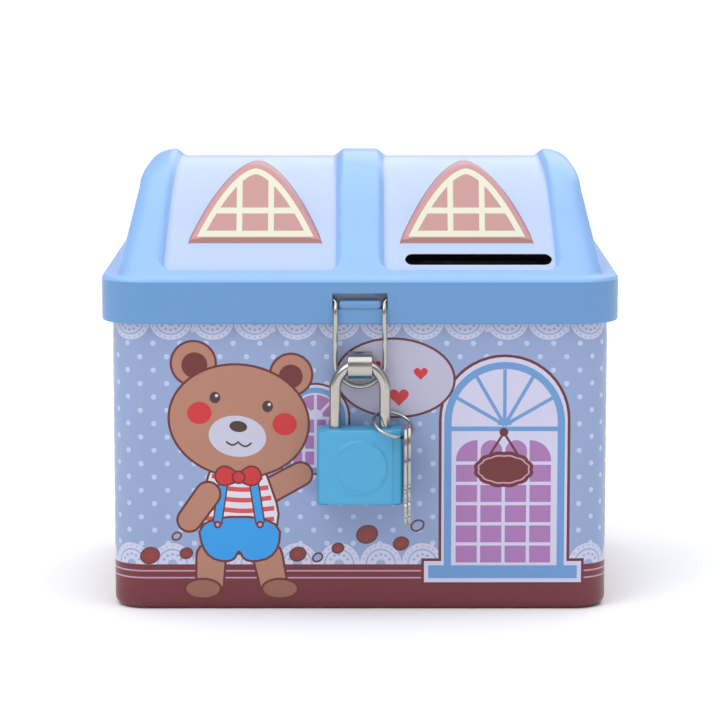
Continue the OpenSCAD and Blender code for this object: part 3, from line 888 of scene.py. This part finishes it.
def windowArt(cx, halfW, base, top):
    # an arched window
    inner = halfW - 2.2
    spring = top - 0.5 - halfW
    parts = [("outlineMaroon", arch(cx, halfW + 0.45, base - 0.4, top + 0.45)),
             ("doorWhite", arch(cx, halfW, base, top)),
             ("doorBlue", arch(cx, halfW - 0.55, base, top - 0.55)),
             ("doorWhite", arch(cx, halfW - 1.7, base + 1.2, top - 1.7))]
    parts += paneRows(cx - inner, cx + inner, base + 1.8, spring, 4, 3, 0.6)
    spring += 0.6
    parts.append(("paneViolet", ellipse(cx, spring, inner, inner, 0, 24, 0, 180)))
    for i in range(1, 4):
        a = math.pi * i / 4
        tip = (cx + inner * math.cos(a), spring + inner * math.sin(a))
        parts.append(("doorWhite", bar(cx, spring - 0.3, tip[0], tip[1], 0.6)))
    return parts + [("doorWhite", ellipse(cx, spring, 1.6, 1.6, 0, 14, 0, 180))]


def sillArt(cx, halfW, base):
    layers = (("outlineMaroon", 1.7, -2.5, 0.4), ("doorWhite", 1.2, -2.1, 0), ("doorBlue", 0.8, -1.7, -0.4))
    return [(name, box(cx - halfW - out, base + low, cx + halfW + out, base + high))
            for name, out, low, high in layers]


def bubbleArt():
    # a speech bubble with three hearts
    parts = inked("bubbleGrey", ellipse(*litho["bubble"], 48))
    for x, z, size in ((8.2, 45.9, 4.2), (12.8, 50.9, 3.0), (3.2, 52.6, 2.4)):
        parts.append(("heartRed", heart(x, z, size)))
    return parts


def shirtArt():
    # a white shirt with wavy red stripes
    shirt = limb(-25.9, 27.2, 6.2, -25.7, 20.5, 8.2, 12)
    parts = inked("shirtWhite", shirt)
    inside = insetOutline(shirt, 0.3)
    for i in range(5):
        z = 28.6 - 2.3 * i
        wave = [(-33.2 + 0.6 * k, z + 0.35 * math.cos(0.22 * k)) for k in range(26)]
        stripe = [p for p in wave if within(np.array([p]), inside)[0]]
        parts.append(("stripeRed", stroke(stripe, 1.0)))
    return parts


def dungareeArt():
    # short blue dungarees, their straps held by two buttons
    hips = [(-34.3, 19.8), (-33.0, 11.8), (-27.3, 10.2), (-25.7, 13.6), (-24.1, 10.2), (-17.6, 11.8),
            (-17.0, 19.8)]
    parts = inked("trouserBlue", soften(hips, 2))
    for x, lean in ((-30.2, 1.2), (-21.2, -1.2)):
        parts += inked("trouserBlue", bar(x, 19.0, x + lean, 27.0, 1.5), 0.35)
        parts.append(("outlineMaroon", ellipse(x, 18.4, 0.85, 0.85, 0, 14)))
        parts.append(("lineRose", ellipse(x, 18.4, 0.4, 0.4, 0, 10)))
    return parts


def headArt():
    # round ears, red cheeks, a grey muzzle and small eyes
    parts = []
    for x, z, r, hole in ((-35.1, 53.0, 4.5, 2.6), (-14.5, 50.6, 4.2, 2.4)):
        parts += inked("bearTan", ellipse(x, z, r, r, 0, 30))
        parts += inked("earMaroon", ellipse(x * 0.985 - 0.3, z - 0.4, hole, hole, 0, 22), 0.15)
    parts += inked("bearTan", ellipse(*litho["head"], 56))
    parts += [("heartRed", ellipse(x, z, 2.6, 2.4, 0, 24)) for x, z in ((-33.9, 42.4), (-15.9, 40.0))]
    parts.append(("muzzleGrey", ellipse(-25.9, 37.4, 6.1, 4.4, -7, 36)))
    parts.append(("noseBrown", ellipse(-25.7, 39.5, 1.9, 1.2, -7, 20)))
    for x, z in ((-28.3, 36.3), (-25.6, 36.0)):
        smile = [(x + 0.3 * k, z - 0.75 * math.sin(math.pi * k / 9)) for k in range(10)]
        parts.append(("noseBrown", stroke(smile, 0.4)))
    for x, z in ((-30.6, 45.7), (-19.5, 43.8)):
        parts.append(("noseBrown", ellipse(x, z, 1.15, 1.25, 0, 18)))
        parts.append(("shirtWhite", ellipse(x + 0.35, z + 0.4, 0.35, 0.35, 0, 8)))
    return parts


def bearArt():
    # a teddy bear in a striped shirt, dungarees and a bow tie, waving
    legs = (limb(-31.6, 11.5, 2.9, -31.9, 5.6, 2.7), limb(-19.6, 11.5, 2.9, -18.4, 5.6, 2.7))
    feet = (ellipse(-33.4, 4.5, 3.6, 1.9, 0, 24), ellipse(-17.0, 4.5, 3.6, 1.9, 0, 24))
    wavingArm = limb(-19.5, 25.5, 2.4, -12.6, 29.3, 2.3)
    hangingArm = limb(-32.2, 25.0, 2.4, -36.2, 19.4, 2.3)
    bows = (limb(-28.6, 28.9, 1.9, -26.2, 28.6, 0.7), limb(-23.0, 28.9, 1.9, -25.2, 28.6, 0.7),
            ellipse(-25.7, 28.6, 1.1, 1.1, 0, 14))
    parts = []
    for leg in legs:
        parts += inked("bearTan", leg)
    for foot in feet:
        parts += inked("bearShade", foot)
    parts += inked("bearTan", wavingArm) + shirtArt() + dungareeArt()
    parts += inked("bearTan", hangingArm) + headArt()
    for bow in bows:
        parts += inked("heartRed", bow, 0.4)
    return parts


def soften(outline, rounds):
    # rounds an outline's corners by cutting them
    for cutting in range(rounds):
        cut = []
        for a, b in zip(outline, outline[1:] + outline[:1]):
            for share in (0.75, 0.25):
                cut.append((a[0] * share + b[0] * (1 - share), a[1] * share + b[1] * (1 - share)))
        outline = cut
    return outline


def pebbleArt():
    # stones and rings along the ground, all the way round, as (along, up, radius)
    stones = [(-44.6, 11.7, 1.9), (-36.9, 12.2, 1.2), (-13.2, 12.0, 1.6), (-4.7, 13.3, 1.1), (1.5, 16.3, 2.1),
              (8.7, 14.3, 1.5), (62.0, 12.6, 1.6), (71.0, 15.6, 2.0), (105.5, 12.8, 1.7), (115.0, 15.0, 1.2),
              (140.0, 13.0, 1.9), (164.0, 14.4, 1.3), (-62.0, 13.2, 1.8), (-72.5, 15.0, 1.2),
              (-104.0, 12.8, 2.0), (-116.0, 15.2, 1.4), (-138.0, 13.2, 1.3), (-163.0, 13.8, 1.9)]
    rings = [(-38.9, 15.9, 1.2), (-9.0, 11.3, 1.3), (12.2, 18.2, 1.6), (66.5, 17.8, 1.2), (110.5, 17.2, 1.5),
             (158.0, 17.5, 1.2), (-67.5, 17.6, 1.4), (-110.0, 17.4, 1.2), (-157.0, 17.2, 1.5)]
    parts = []
    for x, z, r in stones:
        parts += inked("ovalBrown", ellipse(x, z, r, r * 0.82, 20, 22), 0.3)
        parts.append(("stoneRed", ellipse(x + 0.1, z - 0.1, r * 0.45, r * 0.36, 20, 12)))
    for x, z, r in rings:
        parts.append(("outlineMaroon", ellipse(x, z, r, r * 0.8, 30, 20)))
        parts.append(("wallBlue", ellipse(x, z, r - 0.4, r * 0.8 - 0.4, 30, 16)))
    return parts


def laceLobe(cx, base, wide, reach, share, steps=14):
    # half an ellipse on its base, hanging when its reach is negative
    up = 1 if reach > 0 else -1
    outline = ellipse(cx, base, wide / 2 * share, abs(reach) * share, 0, steps, 0, 180 * up)
    return outline if up > 0 else outline[::-1]


def laceHoles(cx, base, wide, reach, share, count, rx, ry, steps):
    # a row of holes along a scallop
    holes = []
    for k in range(1, count + 1):
        a = math.pi * k / (count + 1)
        place = (cx + wide / 2 * share * math.cos(a), base + reach * share * math.sin(a))
        holes.append(("laceGap", ellipse(place[0], place[1], rx, ry, 0, steps)))
    return holes


def laceArt(base, reach):
    # scallops of lace: an openwork border round an inner fan
    parts = []
    wide = 2 * sheetHalf / litho["scallops"]
    for i in range(litho["scallops"]):
        at = (-sheetHalf + wide * (i + 0.5), base, wide, reach)
        parts.append(("laceWhite", laceLobe(*at, 1.0, 18)))
        parts += laceHoles(*at, 0.87, 9, 0.2, 0.2, 6)
        parts += [("laceGap", laceLobe(*at, 0.74)), ("laceWhite", laceLobe(*at, 0.66))]
        parts += laceHoles(*at, 0.47, 5, 0.36, 0.32, 8)
        parts.append(("laceGap", laceLobe(*at, 0.24, 8)))
    return parts


def dotArt(covers):
    # staggered rows of dots, left out where a picture covers them
    parts = []
    across = 2 * sheetHalf / litho["dotAcross"]
    rows = int((litho["dotTo"] - litho["dotFrom"]) / litho["dotUp"]) + 1
    reach = np.array([(0, 0)] + ellipse(0, 0, 0.85, 0.85, 0, 8))
    for j in range(rows):
        for i in range(litho["dotAcross"]):
            x = -sheetHalf + across * (i + (0.25 if j % 2 else 0.75))
            z = litho["dotFrom"] + litho["dotUp"] * j
            if not any(within(reach + np.array([x, z]), cover).all() for cover in covers):
                parts.append(("dotBlue", ellipse(x, z, litho["dotR"], litho["dotR"], 0, 12)))
    return parts


def bodyArt():
    # every picture on the sheet, in the order they are laid
    halfW, base, top = litho["wallWindow"]
    middle, back = folds[1] + sideFlat / 2, sheetHalf - litho["backWindow"]
    windows = (middle, -middle, back, -back)
    pictures = windowArt(*litho["smallWindow"]) + doorArt() + signArt() + bubbleArt()
    for cx in windows:
        pictures += windowArt(cx, halfW, base, top) + sillArt(cx, halfW, base)
    covers = [arch(*litho["door"]), ellipse(*litho["bubble"], 24), ellipse(*litho["head"], 24)]
    covers += [arch(cx, halfW, base - 1, top) for cx in windows]
    covers += [limb(-25.9, 27.2, 6.2, -25.7, 18.5, 8.2, 8), arch(*litho["smallWindow"])]
    lace = laceArt(litho["laceTop"], -3.9) + laceArt(litho["band"], 4.6)
    return dotArt(covers) + lace + pictures + pebbleArt() + bearArt()


def bodyLines():
    # grid lines along the sheet and up it, and finer ones up it for the bent corners
    bends = [-f for f in reversed(folds)] + list(folds)
    steps = [wall["straightStep"], wall["cornerStep"]] * 4 + [wall["straightStep"]]
    us = spread([-sheetHalf] + bends + [sheetHalf], steps)
    seam = [sheetHalf - d for d in (0.15, 0.3, 0.5)]
    us = sorted(set(us) | set(seam) | {-u for u in seam} | {0.0})
    foot = wall["footR"] * (1 - math.pi / 2)
    (a, b), (c, d) = litho["lines"]
    band, laceTop = litho["band"], litho["laceTop"]
    vs = spread([wall["low"], foot, wall["footR"], a, b, c, d, band, laceTop], [3, 0.3, 2.4, 1, 2, 1, 2, 6.0])
    hemEnd = wall["hemZ"] + math.pi * wall["hemR"]
    vs += spread([laceTop, wall["hemZ"], hemEnd, wall["high"]], [3, 0.18, 3])[1:]
    return us, vs, sorted(set(vs) | set(spread([band, laceTop], [1.6])))


def sheetGrid(us, vs, fine):
    # the sheet's grid points, and the printed lines' edges, which no triangle may cross
    keep = {round(v, 4) for v in (litho["band"], litho["laceTop"]) + litho["lines"][0] + litho["lines"][1]}
    points, rows = [], {}
    for u in us:
        bent = folds[0] - 0.01 < abs(u) < folds[1] + 0.01 or folds[2] - 0.01 < abs(u) < folds[3] + 0.01
        for v in (fine if bent else vs):
            if round(v, 4) in keep:
                rows.setdefault(round(v, 4), []).append(len(points))
            points.append((u, v))
    return points, [edge for row in rows.values() for edge in zip(row, row[1:])]


def sheetInks(centres, pictures):
    # the ink of each face: pictures over the wall's blue, and the band where no picture covers it
    names = paintFaces(centres, pictures, "wallBlue")
    bare = np.ones(len(centres), bool)
    for name, outline in pictures:
        bare &= ~within(centres, outline)
    names[bare & (centres[:, 1] < litho["band"])] = "bandMaroon"
    for low, high in litho["lines"]:
        names[bare & (centres[:, 1] > low) & (centres[:, 1] < high)] = "lineRose"
    return names


def buildBody():
    us, vs, fine = bodyLines()
    points, edges = sheetGrid(us, vs, fine)
    pictures = bodyArt()
    plan, tris = triangulate(points, [outline for name, outline in pictures], edges)
    names = sheetInks(plan[tris].mean(axis=1), pictures)
    palette = sorted(set(names))
    colours = [palette.index(name) for name in names]
    verts, normals = [part.tolist() for part in foldSheet(plan[:, 0], plan[:, 1], 0)]
    # the two ends meet in the seam
    leftEnd = {round(v, 3): i for i, (u, v) in enumerate(plan) if u < -sheetHalf + 1e-3}
    twin = {i: leftEnd[round(v, 3)] for i, (u, v) in enumerate(plan)
            if u > sheetHalf - 1e-3 and round(v, 3) in leftEnd}
    faces = [tuple(twin.get(i, i) for i in tri) for tri in tris.tolist()]
    # the inside of the sheet, joined to the outside at both edges
    inner = {}
    for u in us[:-1]:
        places, facings = foldSheet(np.full(len(vs), u), np.array(vs), wall["sheet"])
        for v, place, facing in zip(vs, places.tolist(), facings.tolist()):
            inner[(u, v)] = len(verts)
            verts.append(place)
            normals.append([-c for c in facing])
    loop = us[:-1] + us[:1]
    for a, b in zip(loop, loop[1:]):
        for low, high in zip(vs, vs[1:]):
            faces.append((inner[(a, low)], inner[(a, high)], inner[(b, high)], inner[(b, low)]))
    for v, flip in ((vs[0], False), (vs[-1], True)):
        outer = {round(u, 3): i for i, (u, w) in enumerate(plan) if abs(w - v) < 1e-3}
        for a, b in zip(loop, loop[1:]):
            quad = (outer[round(a, 3)], inner[(a, v)], inner[(b, v)], outer[round(b, 3)])
            faces.append(quad[::-1] if flip else quad)
    colours += [len(palette)] * (len(faces) - len(colours))
    materials = [ink(name) for name in palette] + [finishes["gold"]]
    return newPiece("printed_wall", verts, faces, normals, materials, "body",
                    ["body_wall"], colours)


buildBody()
print("wall ready")


def tubeFrames(points, closed):
    # each point of a wire's path with two cross directions that turn as little as they can
    count = len(points)
    tangents = []
    for i in range(count):
        before = points[i - 1] if closed or i > 0 else points[i]
        after = points[(i + 1) % count] if closed or i < count - 1 else points[i]
        tangents.append((after - before).normalized())
    side = tangents[0].orthogonal().normalized()
    frames = []
    for i in range(count):
        if i:
            side = tangents[i - 1].rotation_difference(tangents[i]) @ side
        side = (side - tangents[i] * side.dot(tangents[i])).normalized()
        frames.append((points[i], side, tangents[i].cross(side), tangents[i]))
    if not closed:
        return frames
    # a closed wire shares out the turn left over at its join
    last = tangents[-1].rotation_difference(tangents[0]) @ side
    drift = math.atan2(last.cross(frames[0][1]).dot(tangents[0]), last.dot(frames[0][1]))
    turned = []
    for i, (p, a, b, t) in enumerate(frames):
        w = drift * i / count
        turned.append((p, a * math.cos(w) + b * math.sin(w), b * math.cos(w) - a * math.sin(w), t))
    return turned


def sweepTube(path, radius, sides=16, closed=False):
    # a round wire along a path, with rounded ends when it isn't closed
    frames = tubeFrames([Vector(p) for p in path], closed)
    stations = [(p, a, b, t, 1.0, 0.0) for p, a, b, t in frames]  # with a share of the radius, and a lean
    if not closed:
        reach = radius * 0.6
        turns = [math.radians(22.5 * k) for k in range(4, 0, -1)]
        cap = [(max(math.cos(w), 0.02), math.sin(w)) for w in turns]
        p, a, b, t = frames[0]
        start = [(p + t * reach * (1 - lean), a, b, t, share, -lean) for share, lean in cap]
        stations[0] = (p + t * reach, a, b, t, 1.0, 0.0)
        p, a, b, t = frames[-1]
        end = [(p - t * reach * (1 - lean), a, b, t, share, lean) for share, lean in reversed(cap)]
        stations[-1] = (p - t * reach, a, b, t, 1.0, 0.0)
        stations = start + stations + end
    verts, normals = [], []
    for p, a, b, t, share, lean in stations:
        for k in range(sides):
            w = 2 * math.pi * k / sides
            out = a * math.cos(w) + b * math.sin(w)
            verts.append(tuple(p + out * radius * share))
            normals.append(tuple((out * math.sqrt(max(1 - lean * lean, 0)) + t * lean).normalized()))
    return verts, ringFaces(len(stations), sides, closed), normals


def ringFaces(rings, sides, closed=False):
    # faces between rings of points, with flat ends when they don't close
    faces = []
    for i in range(rings if closed else rings - 1):
        j = (i + 1) % rings
        for k in range(sides):
            m = (k + 1) % sides
            faces.append((i * sides + k, i * sides + m, j * sides + m, j * sides + k))
    if not closed:
        faces += [tuple(range(sides - 1, -1, -1)), tuple(range((rings - 1) * sides, rings * sides))]
    return faces


def roundPath(points, r, steps=6):
    # rounds the corners of a path
    points = [Vector(p) for p in points]
    path = [points[0]]
    for before, here, after in zip(points, points[1:], points[2:]):
        a, b = (before - here), (after - here)
        reach = min(r, a.length * 0.45, b.length * 0.45)
        start, end = here + a.normalized() * reach, here + b.normalized() * reach
        for i in range(steps + 1):
            t = i / steps
            path.append(start * (1 - t) ** 2 + here * 2 * t * (1 - t) + end * t ** 2)
    return path + [points[-1]]


lip = {"x": 4.3, "y": -40.7, "z": 65.6, "reachY": 0.95, "reachZ": 1.0, "sides": 20,
       "end": [(0.8, 1.0), (0.9, 0.95), (0.97, 0.8), (1, 0.5), (1, 0.05)]}  # (share of x, share of reach)


def buildLip():
    # the tongue of the slot, rolled back on itself between the bail's legs
    stations = [(-along, share) for along, share in reversed(lip["end"])] + lip["end"]
    verts, normals = [], []
    for along, share in stations:
        tip = 0 if share == 1 else math.copysign(1 - share, along) * 1.5
        for k in range(lip["sides"]):
            a = 2 * math.pi * k / lip["sides"]
            out, up = share * math.cos(a), share * math.sin(a)
            verts.append((lip["x"] * along, lip["y"] + lip["reachY"] * out, lip["z"] + lip["reachZ"] * up))
            normals.append(tuple(Vector((tip, out, up)).normalized()))
    faces = ringFaces(len(stations), lip["sides"])
    return newPiece("slot_lip", verts, faces, normals, [ink("rimBlue")], "lid")


bail = {"foot": 8.3, "leg": 5.1, "arcR": 5.2, "pivotY": -40.2, "pivotZ": 66.6, "outY": -41.9, "inY": -40.7,
        "knee": (64.7, 61.9, 58.0), "arcZ": 53.5, "cornerR": 1.1, "wireR": 0.5}


def buildBail():
    # a U of wire: out through the slot, over the skirt's edge, in towards the wall and round the bow
    high, low, tuck = bail["knee"]
    arcR, arcZ, inY = bail["arcR"], bail["arcZ"], bail["inY"]
    right = [(bail["foot"], bail["pivotY"], bail["pivotZ"]), (bail["leg"], bail["pivotY"], bail["pivotZ"]),
             (bail["leg"], bail["outY"], high), (bail["leg"], bail["outY"], low),
             (arcR, inY, tuck), (arcR, inY, arcZ)]
    turns = [math.radians(a) for a in range(-8, -176, -8)]
    bow = [Vector((arcR * math.cos(a), inY, arcZ + arcR * math.sin(a))) for a in turns]
    down = roundPath(right, bail["cornerR"])
    path = down + bow + [Vector((-p.x, p.y, p.z)) for p in reversed(down)]
    verts, faces, normals = sweepTube(path, bail["wireR"])
    return newPiece("bail", verts, faces, normals, [finishes["nickel"]], "bail",
                    ["bail_wire"])


def pointNormals(points):
    # which way each point of an outline faces
    found = []
    for i in range(len(points)):
        before, after = points[i - 1], points[(i + 1) % len(points)]
        found.append(Vector((after[1] - before[1], before[0] - after[0])).normalized())
    return found


def beveledPlate(outline, holes, thick, bevel, at):
    # a flat blank standing across X with rounded edges; its outline is in Y and Z from a point
    verts, normals, faces = [], [], []
    turns = [90 - 22.5 * k for k in range(5)]
    flats = {1: [], -1: []}
    for points in [outline] + holes:
        outward = pointNormals(points)
        rings = []
        for up, steps in ((1, turns), (-1, turns[::-1])):
            for turn in steps:
                a = math.radians(turn)
                drawn = insetOutline(points, bevel * (1 - math.cos(a)))
                height = up * (thick / 2 - bevel + bevel * math.sin(a))
                ring = range(len(verts), len(verts) + len(points))
                verts += [(at[0] + height, at[1] + y, at[2] + z) for y, z in drawn]
                normals += [(up * math.sin(a), n.x * math.cos(a), n.y * math.cos(a)) for n in outward]
                rings.append(ring)
                if turn == 90:
                    flats[up].append((ring, drawn))
        for low, high in zip(rings, rings[1:]):
            for i in range(len(points)):
                j = (i + 1) % len(points)
                faces.append((low[i], high[i], high[j], low[j]))
    for up, loops in flats.items():
        coords = [Vector(p) for ring, drawn in loops for p in drawn]
        keys = [k for ring, drawn in loops for k in ring]
        kept, first = [], 0
        for ring, drawn in loops:
            kept += [(first + i, first + (i + 1) % len(ring)) for i in range(len(ring))]
            first += len(ring)
        result = delaunay_2d_cdt(coords, kept, [], 0, 1e-6, True)
        plan, tris, origin = np.array([tuple(p) for p in result[0]]), result[2], result[3]
        centres = plan[np.array([tuple(t) for t in tris])].mean(axis=1)
        inside = within(centres, loops[0][1])
        for ring, drawn in loops[1:]:
            inside &= ~within(centres, drawn)
        for tri, solid in zip(tris, inside):
            if solid:
                face = tuple(keys[origin[i][0]] for i in tri)
                faces.append(face if up > 0 else face[::-1])
    return verts, faces, normals


staple = {"width": 5.1, "inner": (50.95, 54.95), "bend": 1.8, "thick": 0.6, "bevel": 0.14,
          "front": -44.95, "inside": -38.55, "clinch": 3.0}


def buildStaple():
    # a strap of sheet bent round a half-circle nose, its ends folded over inside the wall
    low, high = staple["inner"]
    mid, rise, r, t = (low + high) / 2, (high - low) / 2, staple["bend"], staple["thick"]
    nose, back, end = staple["front"] + r, staple["inside"], mid + rise + staple["clinch"]
    turns = [math.radians(a) for a in range(90, 181, 10)]
    outer = [(nose + (r + t) * math.cos(a), mid + rise - r + (r + t) * math.sin(a)) for a in turns]
    inner = [(nose + r * math.cos(a), mid + rise - r + r * math.sin(a)) for a in turns]
    upper = [(back + t, mid + rise), (back + t, end), (back, end), (back, mid + rise + t)] + outer
    outline = upper + [(y, 2 * mid - z) for y, z in reversed(upper)]
    outline += [(y, 2 * mid - z) for y, z in inner] + inner[::-1]
    verts, faces, normals = beveledPlate(outline, [], staple["width"], staple["bevel"], (0, 0, 0))
    return newPiece("staple_strap", verts, faces, normals, [finishes["nickel"]], "body",
                    ["staple"])


buildLip()
buildBail()
buildStaple()
print("bail and staple ready")

lock = {
    "w": 18.0, "h": 16.0, "t": 7.5, "y": -43.05, "top": 40.0, "wall": 0.8, "edgeR": 0.75,
    "legX": 5.2, "holeR": 1.35,
    "panelX": 6.9, "panelStep": 0.12, "badgeR": 5.85, "badgeUp": 0.4, "badgeRound": 0.55,
    "badgeRings": (5.3, 5.55, 5.7, 5.85, 6.0, 6.12), "fineStep": 0.35, "coarseStep": 1.2,
}


def frontRelief(a, b):
    # the moulded front: a field a little proud of its side strips, and a round badge
    strip = smoothStep((lock["panelX"] - np.abs(a)) / 0.35 + 0.5)
    out = lock["panelStep"] * (strip - 1)
    r = np.hypot(a, b)
    badge = smoothStep((lock["badgeR"] - r) / lock["badgeRound"] + 0.5)
    ring = smoothStep(1 - np.abs(r - lock["badgeR"] + 0.55) / 0.5)
    return out + lock["badgeUp"] * (badge * 0.45 + ring * 0.35)


def jacketLines(halfLength, step):
    # grid lines across one face of the jacket, closer over its rounded edges
    r = lock["edgeR"]
    edge = [halfLength - r + r * math.tan(math.radians(9 * i)) for i in range(1, 6)]
    return sorted([-e for e in edge] + spread([-halfLength + r, halfLength - r], [step]) + edge)


def jacketOpenings(axis, sign, halfs):
    # two holes for the shackle in the top, and the open bottom that takes the core
    if axis != 2:
        return []
    if sign > 0:
        return [ellipse(x, 0, lock["holeR"], lock["holeR"], 0, 32) for x in (-lock["legX"], lock["legX"])]
    x, y = halfs[0] - lock["wall"], halfs[1] - lock["wall"]
    return [box(-x, -y, x, y)]


def raiseFront(shape, facing):
    # lifts the moulded relief off the front face and leans its normals to match
    x, z, step = shape[:, 0], shape[:, 2], 0.02
    shape[:, 1] -= frontRelief(x, z)
    dx = (frontRelief(x + step, z) - frontRelief(x - step, z)) / (2 * step)
    dz = (frontRelief(x, z + step) - frontRelief(x, z - step)) / (2 * step)
    facing = facing - np.stack([dx, np.zeros(len(dx)), dz], axis=1) * np.abs(facing[:, 1:2])
    return shape, facing / np.linalg.norm(facing, axis=1)[:, None]


def lineOpening(verts, normals, hole, ring, drop):
    # the wall of an opening, running inwards from the ring of points at its mouth
    start, count = len(verts), len(hole)
    cx, cy = np.mean(hole, axis=0)
    verts += [(verts[k][0], verts[k][1], verts[k][2] - drop) for k in ring]
    normals += [tuple(Vector((cx - x, cy - y, 0)).normalized()) for x, y in hole]
    quads = [(ring[i], ring[(i + 1) % count], start + (i + 1) % count, start + i) for i in range(count)]
    return quads if drop > 0 else [quad[::-1] for quad in quads]


def buildJacket():
    # the moulded jacket: six faces over rounded edges, open below round the core
    halfs = np.array([lock["w"] / 2, lock["t"] / 2, lock["h"] / 2])
    middle = np.array([0, lock["y"], lock["top"] - lock["h"] / 2])
    r = lock["edgeR"]
    verts, normals, faces = [], [], []
    for axis, sign in ((0, 1), (0, -1), (1, 1), (1, -1), (2, 1), (2, -1)):
        isFront = axis == 1 and sign < 0
        u, v = [k for k in range(3) if k != axis]
        across, along = [jacketLines(halfs[k], lock["fineStep" if isFront else "coarseStep"]) for k in (u, v)]
        holes = jacketOpenings(axis, sign, halfs)
        rings = [ellipse(0, 0, ring, ring, 0, 96) for ring in lock["badgeRings"]] if isFront else []
        points = [(a, b) for a in across for b in along]
        points = [p for p in points if not any(within(np.array([p]), grow(hole, 0.15))[0] for hole in holes)]
        plan, tris = triangulate(points, rings + holes)
        centres = plan[tris].mean(axis=1)
        keep = np.ones(len(tris), bool)
        for hole in holes:
            keep &= ~within(centres, hole)
        cube = np.zeros((len(plan), 3))
        cube[:, u], cube[:, v], cube[:, axis] = plan[:, 0], plan[:, 1], sign * halfs[axis]
        core = np.clip(cube, -(halfs - r), halfs - r)
        facing = cube - core
        facing /= np.linalg.norm(facing, axis=1)[:, None]
        shape = core + facing * r
        if isFront:
            shape, facing = raiseFront(shape, facing)
        first = len(verts)
        verts += (shape + middle).tolist()
        normals += facing.tolist()
        order = -1 if (sign > 0) == (axis == 1) else 1
        faces += [tuple(first + i for i in tri)[::order] for tri in tris[keep].tolist()]
        index = {(round(p[0], 3), round(p[1], 3)): first + i for i, p in enumerate(plan)}
        drop = lock["wall"] if sign > 0 else 2 * lock["wall"] - lock["h"]
        for hole in holes:
            ring = [index[(round(p[0], 3), round(p[1], 3))] for p in hole]
            faces += lineOpening(verts, normals, hole, ring, drop)
    verts, faces, normals = weld(verts, faces, normals)
    return newPiece("padlock_jacket", verts, faces, normals, [finishes["abs"]], "lock_case",
                    ["lock_jacket"])


def weld(verts, faces, normals):
    # joins corners that share a place and a normal
    seen, order, remap = {}, [], []
    for i, (v, n) in enumerate(zip(verts, normals)):
        key = tuple(round(c, 3) for c in v) + tuple(round(c, 1) for c in n)
        if key not in seen:
            seen[key] = len(order)
            order.append(i)
        remap.append(seen[key])
    kept = []
    for face in faces:
        face = [remap[i] for i in face]
        if len(set(face)) == len(face):
            kept.append(tuple(face))
    return [verts[i] for i in order], kept, [normals[i] for i in order]


buildJacket()
print("padlock ready")

keyRing = {"at": (7.0, -44.25, 40.8), "pitch": 26, "roll": 15, "r": 4.3, "wireR": 0.33}


def buildRing():
    # a plain closed ring of wire, hung at a slant round the shackle's long leg
    lean = Matrix.Rotation(math.radians(keyRing["pitch"]), 3, "X")
    turn = lean @ Matrix.Rotation(math.radians(keyRing["roll"]), 3, "Y")
    path = []
    for i in range(96):
        a = math.radians(-100 + 3.75 * i)
        spoke = Vector((keyRing["r"] * math.cos(a), keyRing["r"] * math.sin(a), 0))
        path.append(turn @ spoke + Vector(keyRing["at"]))
    verts, faces, normals = sweepTube(path, keyRing["wireR"], 14, True)
    return newPiece("ring_wire", verts, faces, normals, [finishes["nickel"]], "ring",
                    ["key_ring"])


keyBlank = {"bowR": 4.1, "holeR": 1.75, "thick": 0.6, "length": 21.6, "hang": 0.3, "rim": 1.1, "bevel": 0.12,
            "neck": 1.5, "cutPitch": 1.45, "cuts": (0.5, 0.0, 0.7, 0.2, 0.6),
            "at": {"a": (9.5, -47.04, 38.69), "b": (10.3, -46.21, 38.86)}}


def keyOutline():
    # round bow, shoulders, and a blade with its cuts; Y and Z from the hole's centre
    bowZ = -keyBlank["bowR"] + keyBlank["holeR"] + keyBlank["rim"]
    tip = keyBlank["bowR"] + bowZ - keyBlank["length"]
    neck, shoulder, pitch = keyBlank["neck"], bowZ - 4.6, keyBlank["cutPitch"]
    points = ellipse(0, bowZ, keyBlank["bowR"], keyBlank["bowR"], 0, 40, -68, 316)
    points += [(-neck, shoulder), (-neck, tip + 2 + pitch * len(keyBlank["cuts"]))]
    for i, cut in reversed(list(enumerate(keyBlank["cuts"]))):
        z = tip + 2 + pitch * i
        points += [(-neck + cut * 0.4, z + 1.05), (-neck + cut, z + 0.7), (-neck + cut, z)]
    points += [(-neck + 0.2, tip + 1.2), (-0.5, tip + 0.15), (0.3, tip), (neck, tip + 1.3), (neck, shoulder)]
    return points


def buildKey(name):
    x, y, z = keyBlank["at"][name]
    hole = ellipse(0, 0, keyBlank["holeR"], keyBlank["holeR"], 0, 28)[::-1]
    at = (x, y, z - keyBlank["hang"])
    verts, faces, normals = beveledPlate(keyOutline(), [hole], keyBlank["thick"], keyBlank["bevel"], at)
    return newPiece("key_blank_" + name, verts, faces, normals, [finishes["nickel"]], "key_" + name,
                    ["key_" + name])


buildRing()
buildKey("a")
buildKey("b")
print("keys ready")

nodeFinishes = {
    "tin": ["base_panel"], "abs": ["lock_bottom_cap"], "brass": ["plug", "wafers"],
    "zinc": ["lock_core", "shackle_retaining_pin", "locking_bolt"],
    "nickel": ["hinge_leaf_body", "hinge_wire", "hinge_leaf_lid", "shackle", "shackle_spring", "bolt_spring",
               "plug_clip"],
}
for finish, nodes in nodeFinishes.items():
    for node in nodes:
        finishNode(node, finishes[finish])

bpy.context.view_layer.update()
